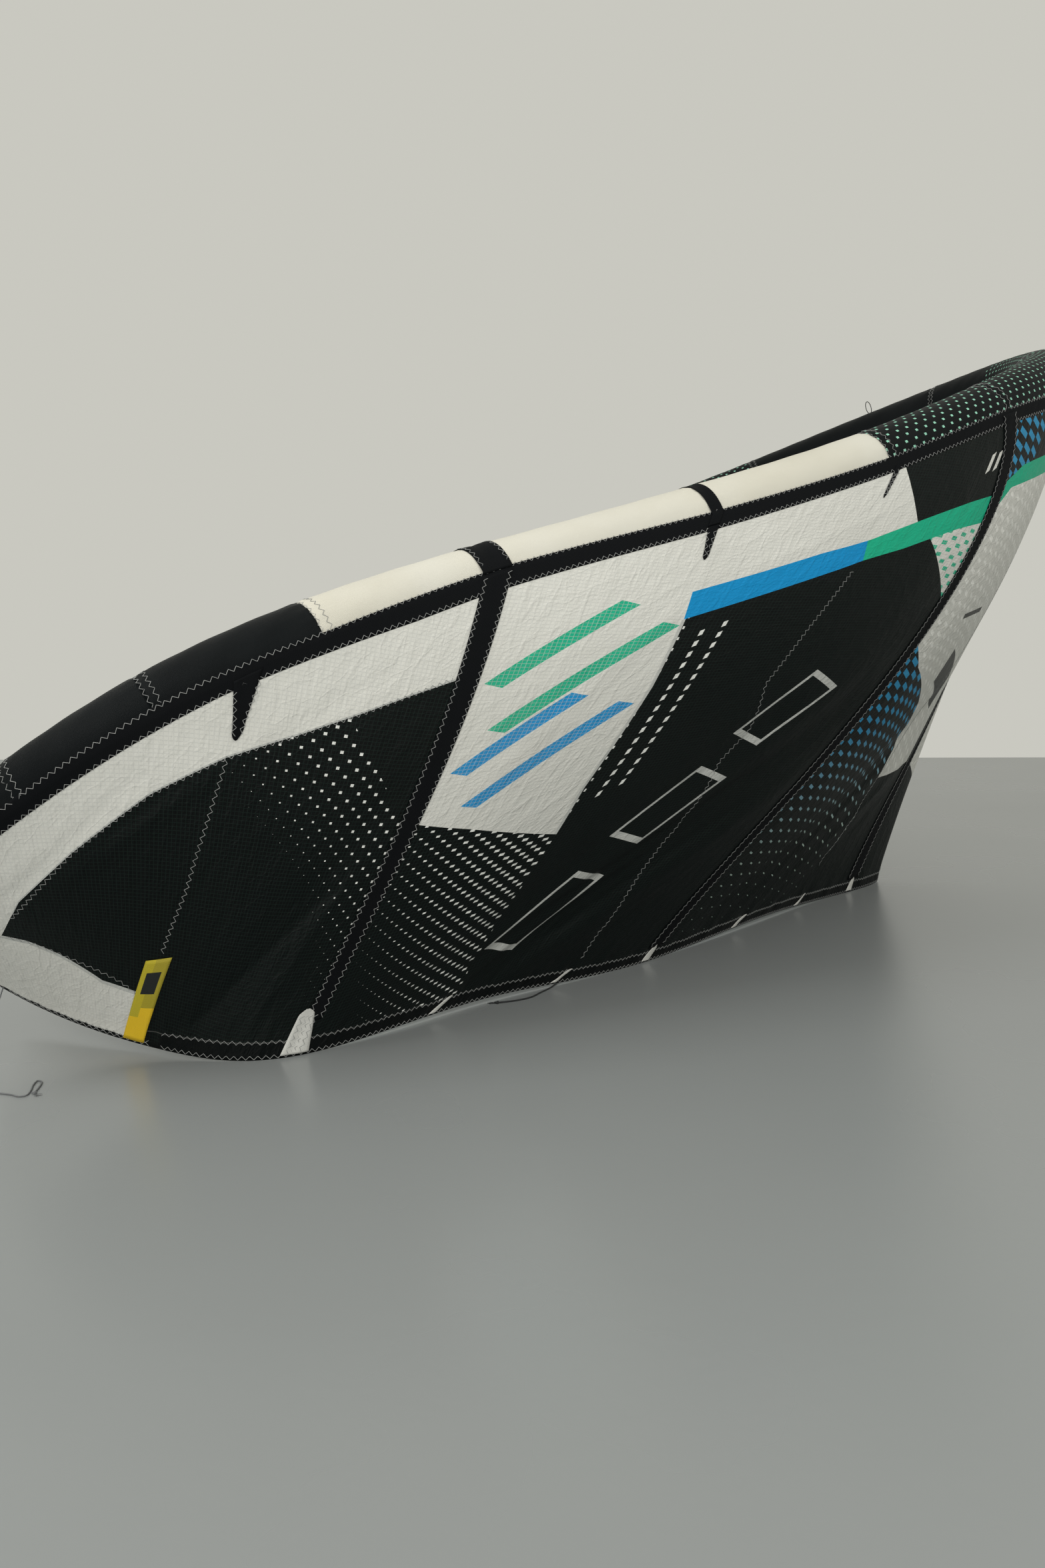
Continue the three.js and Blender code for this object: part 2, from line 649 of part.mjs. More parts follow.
for (const { tag, sign } of SIDES) {
  for (const finger of FINGERS) {
    const lead = finger.turns === 0 ? 0 : finger.turns + 1;
    const patch = sheet(2, lead + finger.steps, (column, row, outside) => {
      const over = finger.turns - row;
      const place = sign * finger.along + (column - 1) * finger.root;
      if (over > 0) return roundTube(place, over * sideAngle, GAP + outside * TAPE);
      if (row < lead) return offSkin(place, 0, STEP_OVER + outside * TAPE);
      return fingerSpot(finger, sign, column, (row - lead) / finger.steps, PATCH_ROOM + outside * TAPE);
    });
    addPiece(`${finger.name}_${tag}`, patch, FINISH.blackDacron);
  }
}

// Tabs along the hem: pockets at the strut ends and batten ends, and the yellow tab at the tip
const TABS = [
  { name: 'tab_strut_middle', along: 0, half: 15, height: 52, lean: 0, sides: [1] },
  { name: 'tab_strut_inner', along: 1115, half: 16, height: 56, lean: 0, sides: [1, -1] },
  { name: 'tab_strut_outer', along: 2700, half: 20, height: 108, lean: 0, sides: [1, -1] },
  { name: 'tab_batten_a', along: 2150, half: 12, height: 40, lean: 0, sides: [1, -1] },
  { name: 'tab_batten_b', along: 1560, half: 12, height: 38, lean: 0, sides: [1, -1] },
  { name: 'tab_batten_c', along: 700, half: 12, height: 40, lean: 0, sides: [1, -1] },
  { name: 'tab_batten_d', along: 330, half: 12, height: 40, lean: 0, sides: [1, -1] },
  { name: 'tab_tip', along: 3470, half: 21, height: 158, lean: -30, sides: [1, -1] },
];
const TAB_LIFT = 7;            // lower edge of a tab above the hem
const LONG_TAB = 100;          // a tab longer than this has square ends

for (const tab of TABS) {
  for (const sign of tab.sides) {
    const rows = tab.height > LONG_TAB ? 5 : 3;
    const patch = sheet(2, rows, (column, row, outside) => {
      const part = row / rows;
      const half = tab.height > LONG_TAB ? tab.half : tab.half * Math.sqrt(1.1 - part ** 3);
      const along = sign * (tab.along + tab.lean * part) + (column - 1) * half;
      const down = 1 - (TAB_LIFT + tab.height * part) / station(along).length;
      return onPanel(along, down, PATCH_ROOM + outside * TAPE);
    });
    const tag = sign > 0 ? 'near' : 'far';
    const name = tab.sides.length > 1 ? `${tab.name}_${tag}` : tab.name;
    addPiece(name, patch, tab.name === 'tab_tip' ? FINISH.tabYellow : FINISH.tabWhite);
  }
}

// Small sewn loop standing on the far half of the tube
const LOOP = { along: -760, turn: 4 * sideAngle, radius: 11, cord: 1.6, stretch: 1.9 };
const loopRing = new THREE.TorusGeometry(LOOP.radius, LOOP.cord, 6, 14).scale(1, LOOP.stretch, 1);
const loopAt = station(LOOP.along);
const loopRoot = roundTube(LOOP.along, LOOP.turn, 0);
const loopUp = loopRoot.clone().sub(roundTube(LOOP.along, LOOP.turn, -LOOP.radius)).normalize();
const loopSpot = loopRoot.addScaledVector(loopUp, (LOOP.radius + LOOP.cord) * LOOP.stretch);
const loopTurn = new THREE.Matrix4().makeBasis(
  loopAt.tangent,
  loopUp,
  loopAt.tangent.clone().cross(loopUp),
);
addPiece('loop_far', shaped(loopRing, (point) => point.clone().applyMatrix4(loopTurn).add(loopSpot)), FINISH.cord);

// Cords, with their routes as rows of side, out and up for the near side: a line from the tip that ends in a knotted loop
// on the floor, and a bridle leg that hangs inside the sail and comes out under the hem
const CORDS = [
  {
    name: 'cord_tip',
    radius: 1.5,
    steps: 60,
    route: [
      [1005.6, -3064.8, 133.5],
      [1018, -3076, 100],
      [1034, -3093, 60],
      [1056, -3117, 22],
      [1086, -3139, 6],
      [1124, -3150, 2.2],
      [1172, -3148, 1.8],
      [1224, -3132, 1.8],
      [1270, -3105, 1.8],
      [1301, -3069, 1.8],
      [1317, -3034, 1.8],
      [1331, -3012, 1.8],
      [1345, -2996, 1.8],
      [1343, -2984, 1.8],
      [1318, -2978, 1.8],
      [1284, -2977, 1.8],
      [1262, -2971, 1.8],
      [1270, -2963, 1.8],
      [1300, -2964, 1.8],
      [1332, -2970, 1.8],
    ],
  },
  {
    name: 'cord_bridle',
    radius: 2,
    steps: 64,
    route: [
      [991, -1379.2, 1103.2],
      [994, -1387, 1030],
      [1000, -1405, 860],
      [1006, -1433, 700],
      [1006, -1475, 570],
      [990, -1534, 464],
      [928, -1627, 278],
      [896, -1697, 134],
      [868, -1733, 56],
      [853, -1742, 26],
      [851, -1746, 10],
      [859, -1751, 4],
      [874, -1759, 2.9],
      [902, -1781, 2.5],
      [932, -1813, 2.3],
      [968, -1851, 2.3],
      [986, -1899, 2.3],
      [990, -1943, 2.3],
    ],
  },
];

function cordSolid(cord, sign) {
  const spots = cord.route.map(([side, out, up]) => fromKite(sign * side, out, up));
  const path = new THREE.CatmullRomCurve3(spots, false, 'centripetal');
  const round = new THREE.Shape().absarc(0, 0, cord.radius, 0, 2 * Math.PI);
  const options = { steps: cord.steps, curveSegments: CORD_SIDES / 2, extrudePath: path };
  return shaped(new THREE.ExtrudeGeometry(round, options), (point) => point.clone());
}

for (const { tag, sign } of SIDES) {
  for (const cord of CORDS) addPiece(`${cord.name}_${tag}`, cordSolid(cord, sign), FINISH.cord);
}

export default kite;
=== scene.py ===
"""An inflated kitesurfing kite that stands on its trailing edge, dressed for a studio picture."""

import logging
import math
from dataclasses import dataclass, field
from enum import Enum

import bmesh
import bpy
import numpy as np
from mathutils import Matrix, Vector


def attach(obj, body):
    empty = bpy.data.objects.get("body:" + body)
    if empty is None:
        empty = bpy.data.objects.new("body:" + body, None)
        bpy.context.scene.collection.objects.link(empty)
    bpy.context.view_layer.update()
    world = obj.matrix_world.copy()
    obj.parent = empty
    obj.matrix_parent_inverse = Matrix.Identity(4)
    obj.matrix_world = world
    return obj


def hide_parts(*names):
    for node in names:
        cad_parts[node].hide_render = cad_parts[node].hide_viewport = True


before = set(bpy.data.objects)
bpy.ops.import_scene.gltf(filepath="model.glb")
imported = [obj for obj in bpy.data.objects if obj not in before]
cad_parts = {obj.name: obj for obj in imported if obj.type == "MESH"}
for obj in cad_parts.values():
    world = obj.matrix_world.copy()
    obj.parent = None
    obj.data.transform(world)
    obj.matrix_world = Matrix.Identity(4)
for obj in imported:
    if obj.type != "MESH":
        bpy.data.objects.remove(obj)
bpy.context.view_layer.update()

log = logging.getLogger("kite")

ORIGIN_OUT = -0.407
ORIGIN_SIDE = -0.018
HALF_SPAN = 4.14
STRUT_TOP = (0.0, 1.29, 2.72)
STRUT_FOOT = (0.0, 1.115, 2.72)
STRUT_SWEEP = 8
BAND = 0.048
BAND_SHOWN = ((0.0, 0.048), (2.9, 0.048), (3.35, 0.026), (4.14, 0.026))
GAP = 0.0005
TAPE_HALF = 0.033
TUBE_UNDER = 0.0022
HEM_BAND = 0.04
CELL = 0.0125
SHEET = 0.0012

# Rows of along, side, out, up and radius of the leading edge
LEAD = (
    (0.0, 0.0, 0.190, 1.792, 0.095),
    (1.12, 0.644, -0.294, 1.583, 0.095),
    (1.92, 0.908, -1.076, 1.288, 0.091),
    (2.72, 1.139, -2.011, 1.015, 0.086),
    (3.44, 1.324, -2.675, 0.776, 0.076),
    (4.14, 1.261, -3.162, 0.462, 0.056),
)
# Rows of along, side and out of the trailing edge
TRAIL_NEAR = (
    (0.0, 0.0, -0.395),
    (0.56, 0.355, -0.925),
    (1.12, 0.722, -1.459),
    (1.92, 0.988, -1.986),
    (2.72, 1.246, -2.453),
    (3.44, 1.169, -2.734),
    (4.14, 0.991, -3.072),
)
TRAIL_FAR = (
    (0.3, 0.185, -0.170),
    (0.56, 0.340, -0.420),
    (1.12, 0.735, -1.400),
) + TRAIL_NEAR[3:]
# Rows of along and a value between which it runs straight
CAMBER = ((0.0, 0.1086), (1.12, 0.1086), (2.72, 0.11), (4.14, 0.04))
SEAM_TURN = ((0.0, 0.0), (1.3, 0.0), (1.75, 0.18), (2.25, 0.16), (2.72, 0.0), (4.14, 0.0))
STRIP_WRAP = ((0.0, 0.05), (3.1, 0.05), (3.4, 0.22), (4.14, 0.32))
STRUT_RADIUS = ((0.0, 0.046), (0.435, 0.040), (0.773, 0.027), (1.0, 0.019))
# Soft folds: from along, down to along, down, half width, depth
FOLDS = (
    (2.06, 0.98, 1.25, 0.52, 0.095, -0.016),
    (2.35, 0.95, 1.60, 0.50, 0.085, -0.010),
    (1.85, 0.98, 1.18, 0.66, 0.070, 0.009),
    (3.25, 0.90, 2.80, 0.45, 0.080, -0.008),
    (0.90, 0.95, 0.35, 0.60, 0.090, -0.012),
    (0.56, 0.98, 0.12, 0.70, 0.080, 0.008),
    (-0.90, 0.95, -0.40, 0.55, 0.090, -0.012),
    (-1.95, 0.97, -1.30, 0.50, 0.095, -0.014),
    (-3.20, 0.90, -2.85, 0.45, 0.080, -0.008),
)
# Fine creases of the look alone, in the same terms
CREASES = (
    (2.30, 0.99, 1.45, 0.62, 0.030, -0.005),
    (2.18, 0.985, 1.35, 0.58, 0.024, 0.004),
    (1.98, 0.985, 1.22, 0.60, 0.026, -0.004),
    (1.78, 0.985, 1.16, 0.72, 0.022, 0.003),
    (2.55, 0.97, 2.20, 0.66, 0.026, -0.003),
    (2.62, 0.55, 2.24, 0.20, 0.030, 0.002),
    (2.05, 0.14, 1.62, 0.10, 0.022, 0.002),
    (3.95, 0.30, 3.55, 0.12, 0.024, -0.003),
    (3.80, 0.34, 3.20, 0.16, 0.022, 0.003),
    (3.60, 0.24, 2.95, 0.14, 0.024, -0.002),
    (3.05, 0.96, 2.80, 0.55, 0.026, 0.003),
    (3.30, 0.93, 2.90, 0.62, 0.022, -0.003),
    (1.02, 0.97, 0.60, 0.72, 0.026, 0.004),
    (0.82, 0.98, 0.42, 0.70, 0.024, -0.005),
    (0.66, 0.97, 0.25, 0.76, 0.022, 0.004),
    (0.48, 0.98, 0.14, 0.80, 0.024, -0.004),
    (-0.70, 0.97, -0.30, 0.72, 0.026, -0.004),
    (-1.70, 0.98, -1.25, 0.64, 0.026, 0.004),
    (-2.20, 0.98, -1.60, 0.66, 0.024, -0.004),
    (-3.05, 0.95, -2.80, 0.56, 0.024, 0.003),
)
# Sewn joints between the tube's segments, and one more near the tip that is only sewn
JOINTS = (0.44, 1.29, 1.75, 2.22, 2.72, 3.12, 3.5)
TIP_JOINT = 3.85
# Sail seams, as metres along and down
SEAMS = (
    ((3.33, 0.155), (3.35, 0.215), (3.37, 0.277), (3.39, 0.336), (3.41, 0.404), (3.44, 0.46), (3.47, 0.52)),
    ((3.96, 0.22), (3.74, 0.163), (3.52, 0.143), (3.33, 0.153), (3.15, 0.183), (3.0, 0.203), (2.76, 0.225)),
    ((3.56, 0.595), (3.62, 0.54), (3.78, 0.42), (3.92, 0.31), (4.0, 0.26)),
    ((1.70, 0.36), (1.74, 0.52), (1.76, 0.68), (1.66, 0.88), (1.68, 0.97), (1.60, 1.21), (1.58, 1.47), (1.50, 1.74)),
    ((0.45, 0.06), (0.43, 0.5), (0.40, 1.0), (0.36, 1.5), (0.33, 1.8)),
)


class Slot(Enum):
    """Material slots of the record."""

    CANOPY = "canopy"
    TUBE_BLACK = "tube_black"
    TUBE_WHITE = "tube_white"
    TRIM = "trim_black"
    TAB_WHITE = "tab_white"
    TAB_YELLOW = "tab_yellow"
    CORD = "cord_grey"


class Side(Enum):
    """Halves of the kite: near is the one that the camera sees from outside."""

    NEAR = 1
    FAR = -1

    @property
    def tag(self) -> str:
        """The half's name in the nodes' names."""
        return self.name.lower()


class Spline:
    """A natural cubic curve through a row of values."""

    def __init__(self, knots: list[float], values: list[float]) -> None:
        """Works out how much the curve bends at each knot.

        Args:
            knots: Places of the values, rising.
            values: The values there.
        """
        self.knots = np.asarray(knots, float)
        self.values = np.asarray(values, float)
        span = np.diff(self.knots)
        slope = np.diff(self.values) / span
        count = len(self.knots)
        system, right = np.eye(count), np.zeros(count)
        for i in range(1, count - 1):
            system[i, i - 1:i + 2] = span[i - 1], 2 * (span[i - 1] + span[i]), span[i]
            right[i] = 6 * (slope[i] - slope[i - 1])
        self.bend = np.linalg.solve(system, right)

    def __call__(self, place: np.ndarray) -> np.ndarray:
        """The curve's value at each place."""
        i = np.clip(np.searchsorted(self.knots, place, side="right") - 1, 0, len(self.knots) - 2)
        span = self.knots[i + 1] - self.knots[i]
        after = (place - self.knots[i]) / span
        before = 1 - after
        curve = (before**3 - before) * self.bend[i] + (after**3 - after) * self.bend[i + 1]
        return before * self.values[i] + after * self.values[i + 1] + curve * span**2 / 6


def unit(vectors: np.ndarray) -> np.ndarray:
    """The vectors at length one."""
    return vectors / np.maximum(np.linalg.norm(vectors, axis=-1, keepdims=True), 1e-12)


def table(rows: tuple[tuple[float, float], ...], place: np.ndarray) -> np.ndarray:
    """A value that runs straight between rows, the same on both halves."""
    return np.interp(np.abs(place), [row[0] for row in rows], [row[1] for row in rows])


def dot(one: np.ndarray, other: np.ndarray) -> np.ndarray:
    """Dot products of two rows of vectors, as a column."""
    return np.sum(one * other, axis=-1, keepdims=True)


@dataclass(frozen=True)
class Station:
    """What the kite is at each of several places along its leading edge."""

    centre: np.ndarray
    tangent: np.ndarray
    chord_way: np.ndarray
    length: np.ndarray
    outward: np.ndarray
    downward: np.ndarray
    radius: np.ndarray
    camber: np.ndarray
    seam: np.ndarray


class KiteForm:
    """The shape of the inflated kite: its tube, its sail and the lines of its struts."""

    def __init__(self) -> None:
        """Makes the curves of both edges."""
        self.side, self.out, self.up, self.radius = (
            self._across(LEAD, LEAD[1:], column) for column in range(1, 5)
        )
        self.hem_side, self.hem_out = (
            self._across(TRAIL_NEAR, TRAIL_FAR, column) for column in (1, 2)
        )

    @staticmethod
    def _across(near: tuple, far: tuple, column: int) -> Spline:
        """A curve from the far tip to the near one.

        Args:
            near: Rows of the near half.
            far: Rows of the far half, which are mirrored.
            column: The column that is wanted; column 1 is how far to the side.

        Returns:
            The curve over the distance along the leading edge.
        """
        sign = -1 if column == 1 else 1
        knots = [-row[0] for row in reversed(far)] + [row[0] for row in near]
        values = [sign * row[column] for row in reversed(far)] + [row[column] for row in near]
        return Spline(knots, values)

    @staticmethod
    def place(side: np.ndarray, out: np.ndarray, up: np.ndarray) -> np.ndarray:
        """Points of the part's own frame from how far they are to the side, out and up."""
        return np.stack([out - ORIGIN_OUT, ORIGIN_SIDE - side, up], -1)

    def centre(self, along: np.ndarray) -> np.ndarray:
        """Middle of the tube."""
        return self.place(self.side(along), self.out(along), self.up(along))

    @staticmethod
    def hem_height(along: np.ndarray) -> np.ndarray:
        """How far the hem is off the floor."""
        away = np.abs(along)
        inner = np.where(away < STRUT_FOOT[1], STRUT_FOOT[0], STRUT_FOOT[1])
        outer = np.where(away < STRUT_FOOT[1], STRUT_FOOT[1], STRUT_FOOT[2])
        lift = 0.012 * np.sin(math.pi * (away - inner) / (outer - inner)) ** 2
        rise = np.maximum(away - STRUT_FOOT[2], 0) / (HALF_SPAN - STRUT_FOOT[2])
        return np.where(away >= STRUT_FOOT[2], 0.13 * rise**3.2, lift)

    def station(self, along: np.ndarray) -> Station:
        """Everything about the kite at some places along its leading edge.

        Args:
            along: Distances from the middle in metres, positive on the near half.

        Returns:
            The stations, one row for each distance.
        """
        centre = self.centre(along)
        tangent = unit(self.centre(along + 0.001) - self.centre(along - 0.001))
        foot = self.place(self.hem_side(along), self.hem_out(along), self.hem_height(along))
        chord = foot - centre
        length = np.linalg.norm(chord, axis=-1)
        way = unit(chord)
        outward = unit(np.cross(tangent, way))
        lean = dot(way, tangent)
        downward = unit(way - lean * tangent)
        radius = self.radius(along)
        camber = table(CAMBER, along)
        slope = 3 * camber - 1.2 * radius / length
        seam = np.arctan(slope / np.sqrt(1 - lean[:, 0] ** 2)) - table(SEAM_TURN, along)
        return Station(centre, tangent, way, length, outward, downward, radius, camber, seam)

    @staticmethod
    def window(along: np.ndarray, down: np.ndarray) -> np.ndarray:
        """One in the open cloth, nothing at struts, tube and hem."""
        edges = np.array([0.0, STRUT_FOOT[1], STRUT_FOOT[2], HALF_SPAN])
        away = np.abs(along)
        i = np.clip(np.searchsorted(edges, away, side="right") - 1, 0, 2)
        part = np.clip((away - edges[i]) / (edges[i + 1] - edges[i]), 0, 1)
        beside = np.minimum(1, np.sin(math.pi * part) * 2.2)
        return beside * np.clip((down - 0.05) * 6, 0, 1) * np.clip((1 - down) * 9, 0, 1)

    @staticmethod
    def _ridges(rows: tuple, along: np.ndarray, down: np.ndarray, length: np.ndarray) -> np.ndarray:
        """Height of a set of folds, each a soft ridge or trough along a line."""
        height = np.zeros_like(along)
        for from_along, from_down, to_along, to_down, width, depth in rows:
            start = np.stack([np.full_like(length, from_along), from_down * length], -1)
            run = np.stack([np.full_like(length, to_along), to_down * length], -1) - start
            here = np.stack([along, down * length], -1) - start
            part = np.clip(np.sum(here * run, -1) / np.sum(run * run, -1), 0, 1)
            away = np.linalg.norm(here - run * part[:, None], axis=-1) / width
            height += depth * np.exp(-(away**2))
        return height

    def skin(self, along: np.ndarray, down: np.ndarray) -> np.ndarray:
        """Outer face of the sail.

        Args:
            along: Distances along the leading edge.
            down: Shares of the chord, 0 at the tube and 1 at the hem.

        Returns:
            One point for each pair.
        """
        at = self.station(along)
        left = np.maximum(1 - down, 0)
        window = self.window(along, down)
        belly = at.length * at.camber * 3 * down * left**1.6
        height = at.radius * np.cos(at.seam) * left**1.2 + belly
        height += window * (self._ridges(FOLDS, along, down, at.length) + 0.009 * np.sin(math.pi * down))
        drop = at.radius * np.sin(at.seam) * left**3
        return (
            at.centre
            + at.chord_way * (at.length * down)[:, None]
            - at.downward * drop[:, None]
            + at.outward * height[:, None]
        )

    def normal(self, along: np.ndarray, down: np.ndarray) -> np.ndarray:
        """Outward direction of the sail at each point."""
        low, high = np.maximum(down - 0.001, 0), np.minimum(down + 0.001, 1)
        sideways = self.skin(along + 0.002, down) - self.skin(along - 0.002, down)
        facing = unit(np.cross(self.skin(along, high) - self.skin(along, low), sideways))
        outward = self.station(along).outward
        return np.where(dot(facing, outward) < 0, -facing, facing)

    def relief(self, along: np.ndarray, down: np.ndarray) -> np.ndarray:
        """Fine creases and the ripple of the hem, as a height over the smooth sail."""
        length = self.station(along).length
        creases = self._ridges(CREASES, along, down, length) * self.window(along, down)
        above = (1 - down) * length
        wave = np.sin(along * 61.0) + 0.6 * np.sin(along * 97.0 + 1.3)
        hem = 0.0013 * wave * np.exp(-((above - 0.03) ** 2) / 0.0036) * np.clip(above / 0.02, 0, 1)
        pull = 0.0006 * np.sin(along * 150.0) * np.exp(-down * length / 0.09)
        return creases + hem + pull

    def off(self, along: np.ndarray, down: np.ndarray, height: float | np.ndarray) -> np.ndarray:
        """Points a little off the creased sail.

        Args:
            along: Distances along the leading edge, of any array shape.
            down: Shares of the chord, of the same shape.
            height: Metres above the sail's outer face.

        Returns:
            The points, in the same shape with three columns more.
        """
        shape = np.shape(along)
        a, d = np.ravel(along), np.ravel(down)
        rise = np.ravel(np.broadcast_to(height, shape)) + self.relief(a, d)
        return (self.skin(a, d) + self.normal(a, d) * rise[:, None]).reshape(*shape, 3)

    def smooth_off(self, along: np.ndarray, down: np.ndarray, height: np.ndarray) -> np.ndarray:
        """Points off the sail without its fine creases."""
        return self.skin(along, down) + self.normal(along, down) * np.asarray(height)[..., None]

    def band(self, along: np.ndarray) -> np.ndarray:
        """Share of the chord that the closing strip covers, less at the tips."""
        return table(BAND_SHOWN, along) / self.station(np.ravel(along)).length.reshape(np.shape(along))

    def row(self, along: np.ndarray, share: np.ndarray) -> np.ndarray:
        """Share of the chord from a share of what the closing strip leaves."""
        start = self.band(along) * (1 + GAP / BAND)
        return start + (1 - start) * share

    @staticmethod
    def strut(index: int, down: np.ndarray) -> np.ndarray:
        """A strut's place along the leading edge; index is negative on the far half."""
        i = abs(index)
        swing = (STRUT_TOP[i] - STRUT_FOOT[i]) * np.maximum(1 - down, 0) ** STRUT_SWEEP
        return math.copysign(1, index or 1) * (STRUT_FOOT[i] + swing)

    def ring(self, along: np.ndarray, turn: np.ndarray, radius: np.ndarray) -> np.ndarray:
        """Points round the tube; turn 0 is the closing seam, and turns run up over the top."""
        at = self.station(along)
        angle = at.seam + turn
        return (
            at.centre
            + at.outward * (np.cos(angle) * radius)[:, None]
            - at.downward * (np.sin(angle) * radius)[:, None]
        )


FORM = KiteForm()


class Meshes:
    """Makes Blender meshes from rows of points."""

    @staticmethod
    def _squares(rows: int, columns: int, wrap: bool) -> np.ndarray:
        """Corner numbers of the squares of a lattice."""
        last = columns if wrap else columns - 1
        r, c = (each.ravel() for each in np.meshgrid(np.arange(rows - 1), np.arange(last), indexing="ij"))
        after = (c + 1) % columns
        return np.stack([r * columns + c, r * columns + after, (r + 1) * columns + after, (r + 1) * columns + c], -1)

    @staticmethod
    def make(name: str, points: np.ndarray, faces: list, maps: dict[str, np.ndarray]) -> bpy.types.Object:
        """A new object whose faces point outwards.

        Args:
            name: The object's name.
            points: Its points.
            faces: Corner numbers of each face.
            maps: UV maps by name, with one row for each face corner.

        Returns:
            The object, linked into the scene.
        """
        mesh = bpy.data.meshes.new(name)
        mesh.from_pydata(points.tolist(), [], faces)
        for map_name, spots in maps.items():
            layer = mesh.uv_layers.new(name=map_name)
            layer.data.foreach_set("uv", np.ascontiguousarray(spots, np.float32).ravel())
        made = bmesh.new()
        made.from_mesh(mesh)
        bmesh.ops.recalc_face_normals(made, faces=made.faces)
        made.to_mesh(mesh)
        made.free()
        mesh.shade_smooth()
        obj = bpy.data.objects.new(name, mesh)
        bpy.context.scene.collection.objects.link(obj)
        return obj

    @classmethod
    def sheet(cls, name: str, outer: np.ndarray, inner: np.ndarray, maps: dict[str, np.ndarray]) -> bpy.types.Object:
        """A thin closed sheet.

        Args:
            name: The object's name.
            outer: Points of the outer face, in rows and columns.
            inner: Points of the inner face.
            maps: UV maps by name, one spot for each point.

        Returns:
            The object.
        """
        rows, columns = outer.shape[:2]
        count = rows * columns
        front = cls._squares(rows, columns, False)
        back = front[:, ::-1] + count
        grid = np.arange(count).reshape(rows, columns)
        loop = np.concatenate([grid[0, :-1], grid[:-1, -1], grid[-1, :0:-1], grid[:0:-1, 0]])
        after = np.roll(loop, -1)
        rim = np.stack([after, loop, loop + count, after + count], -1)
        faces = np.concatenate([front, back, rim])
        points = np.concatenate([outer.reshape(-1, 3), inner.reshape(-1, 3)])
        spots = {key: each.reshape(-1, 2)[faces.ravel() % count] for key, each in maps.items()}
        return cls.make(name, points, faces.tolist(), spots)

    @classmethod
    def tube(cls, name: str, rings: np.ndarray, spots: np.ndarray) -> bpy.types.Object:
        """A closed tube with flat ends.

        Args:
            name: The object's name.
            rings: Points in rings.
            spots: UV places, with one column more than the rings have points.

        Returns:
            The object.
        """
        rows, columns = rings.shape[:2]
        squares = cls._squares(rows, columns, True)
        r, c = (each.ravel() for each in np.meshgrid(np.arange(rows - 1), np.arange(columns), indexing="ij"))
        corners = [spots[r, c], spots[r, c + 1], spots[r + 1, c + 1], spots[r + 1, c]]
        uv = np.stack(corners, 1).reshape(-1, 2)
        ends = [list(range(columns)), list(range((rows - 1) * columns, rows * columns))]
        uv = np.concatenate([uv, spots[0, :columns], spots[-1, :columns]])
        return cls.make(name, rings.reshape(-1, 3), squares.tolist() + ends, {"UVMap": uv})

    @classmethod
    def sweep(cls, name: str, path: np.ndarray, radius: float | np.ndarray, sides: int) -> bpy.types.Object:
        """A round tube along a path.

        Args:
            name: The object's name.
            path: Points of its middle line.
            radius: Radius, or one for each point.
            sides: Points of a ring.

        Returns:
            The object, whose UV map holds metres along and round.
        """
        way = unit(np.gradient(path, axis=0))
        across = np.cross(way[0], (0.0, 0.0, 1.0))
        if np.linalg.norm(across) < 0.1:
            across = np.cross(way[0], (0.0, 1.0, 0.0))
        frames = []
        for each in way:
            across = unit(across - dot(across, each) * each)
            frames.append((across, np.cross(each, across)))
        one, two = (np.array([pair[k] for pair in frames])[:, None] for k in (0, 1))
        turn = np.linspace(0, 2 * math.pi, sides, endpoint=False)[None, :, None]
        size = np.broadcast_to(radius, len(path))[:, None, None]
        rings = path[:, None] + (np.cos(turn) * one + np.sin(turn) * two) * size
        run = np.concatenate([[0], np.cumsum(np.linalg.norm(np.diff(path, axis=0), axis=1))])
        around = np.linspace(0, 1, sides + 1) * 2 * math.pi * float(np.max(radius))
        spots = np.stack(np.meshgrid(run, around, indexing="ij"), -1)
        return cls.tube(name, rings, spots)

    @staticmethod
    def join(objects: list[bpy.types.Object], name: str) -> bpy.types.Object:
        """Several objects as one mesh under one name."""
        whole = bmesh.new()
        for each in objects:
            whole.from_mesh(each.data)
            bpy.data.objects.remove(each)
        mesh = bpy.data.meshes.new(name)
        whole.to_mesh(mesh)
        whole.free()
        obj = bpy.data.objects.new(name, mesh)
        bpy.context.scene.collection.objects.link(obj)
        return obj


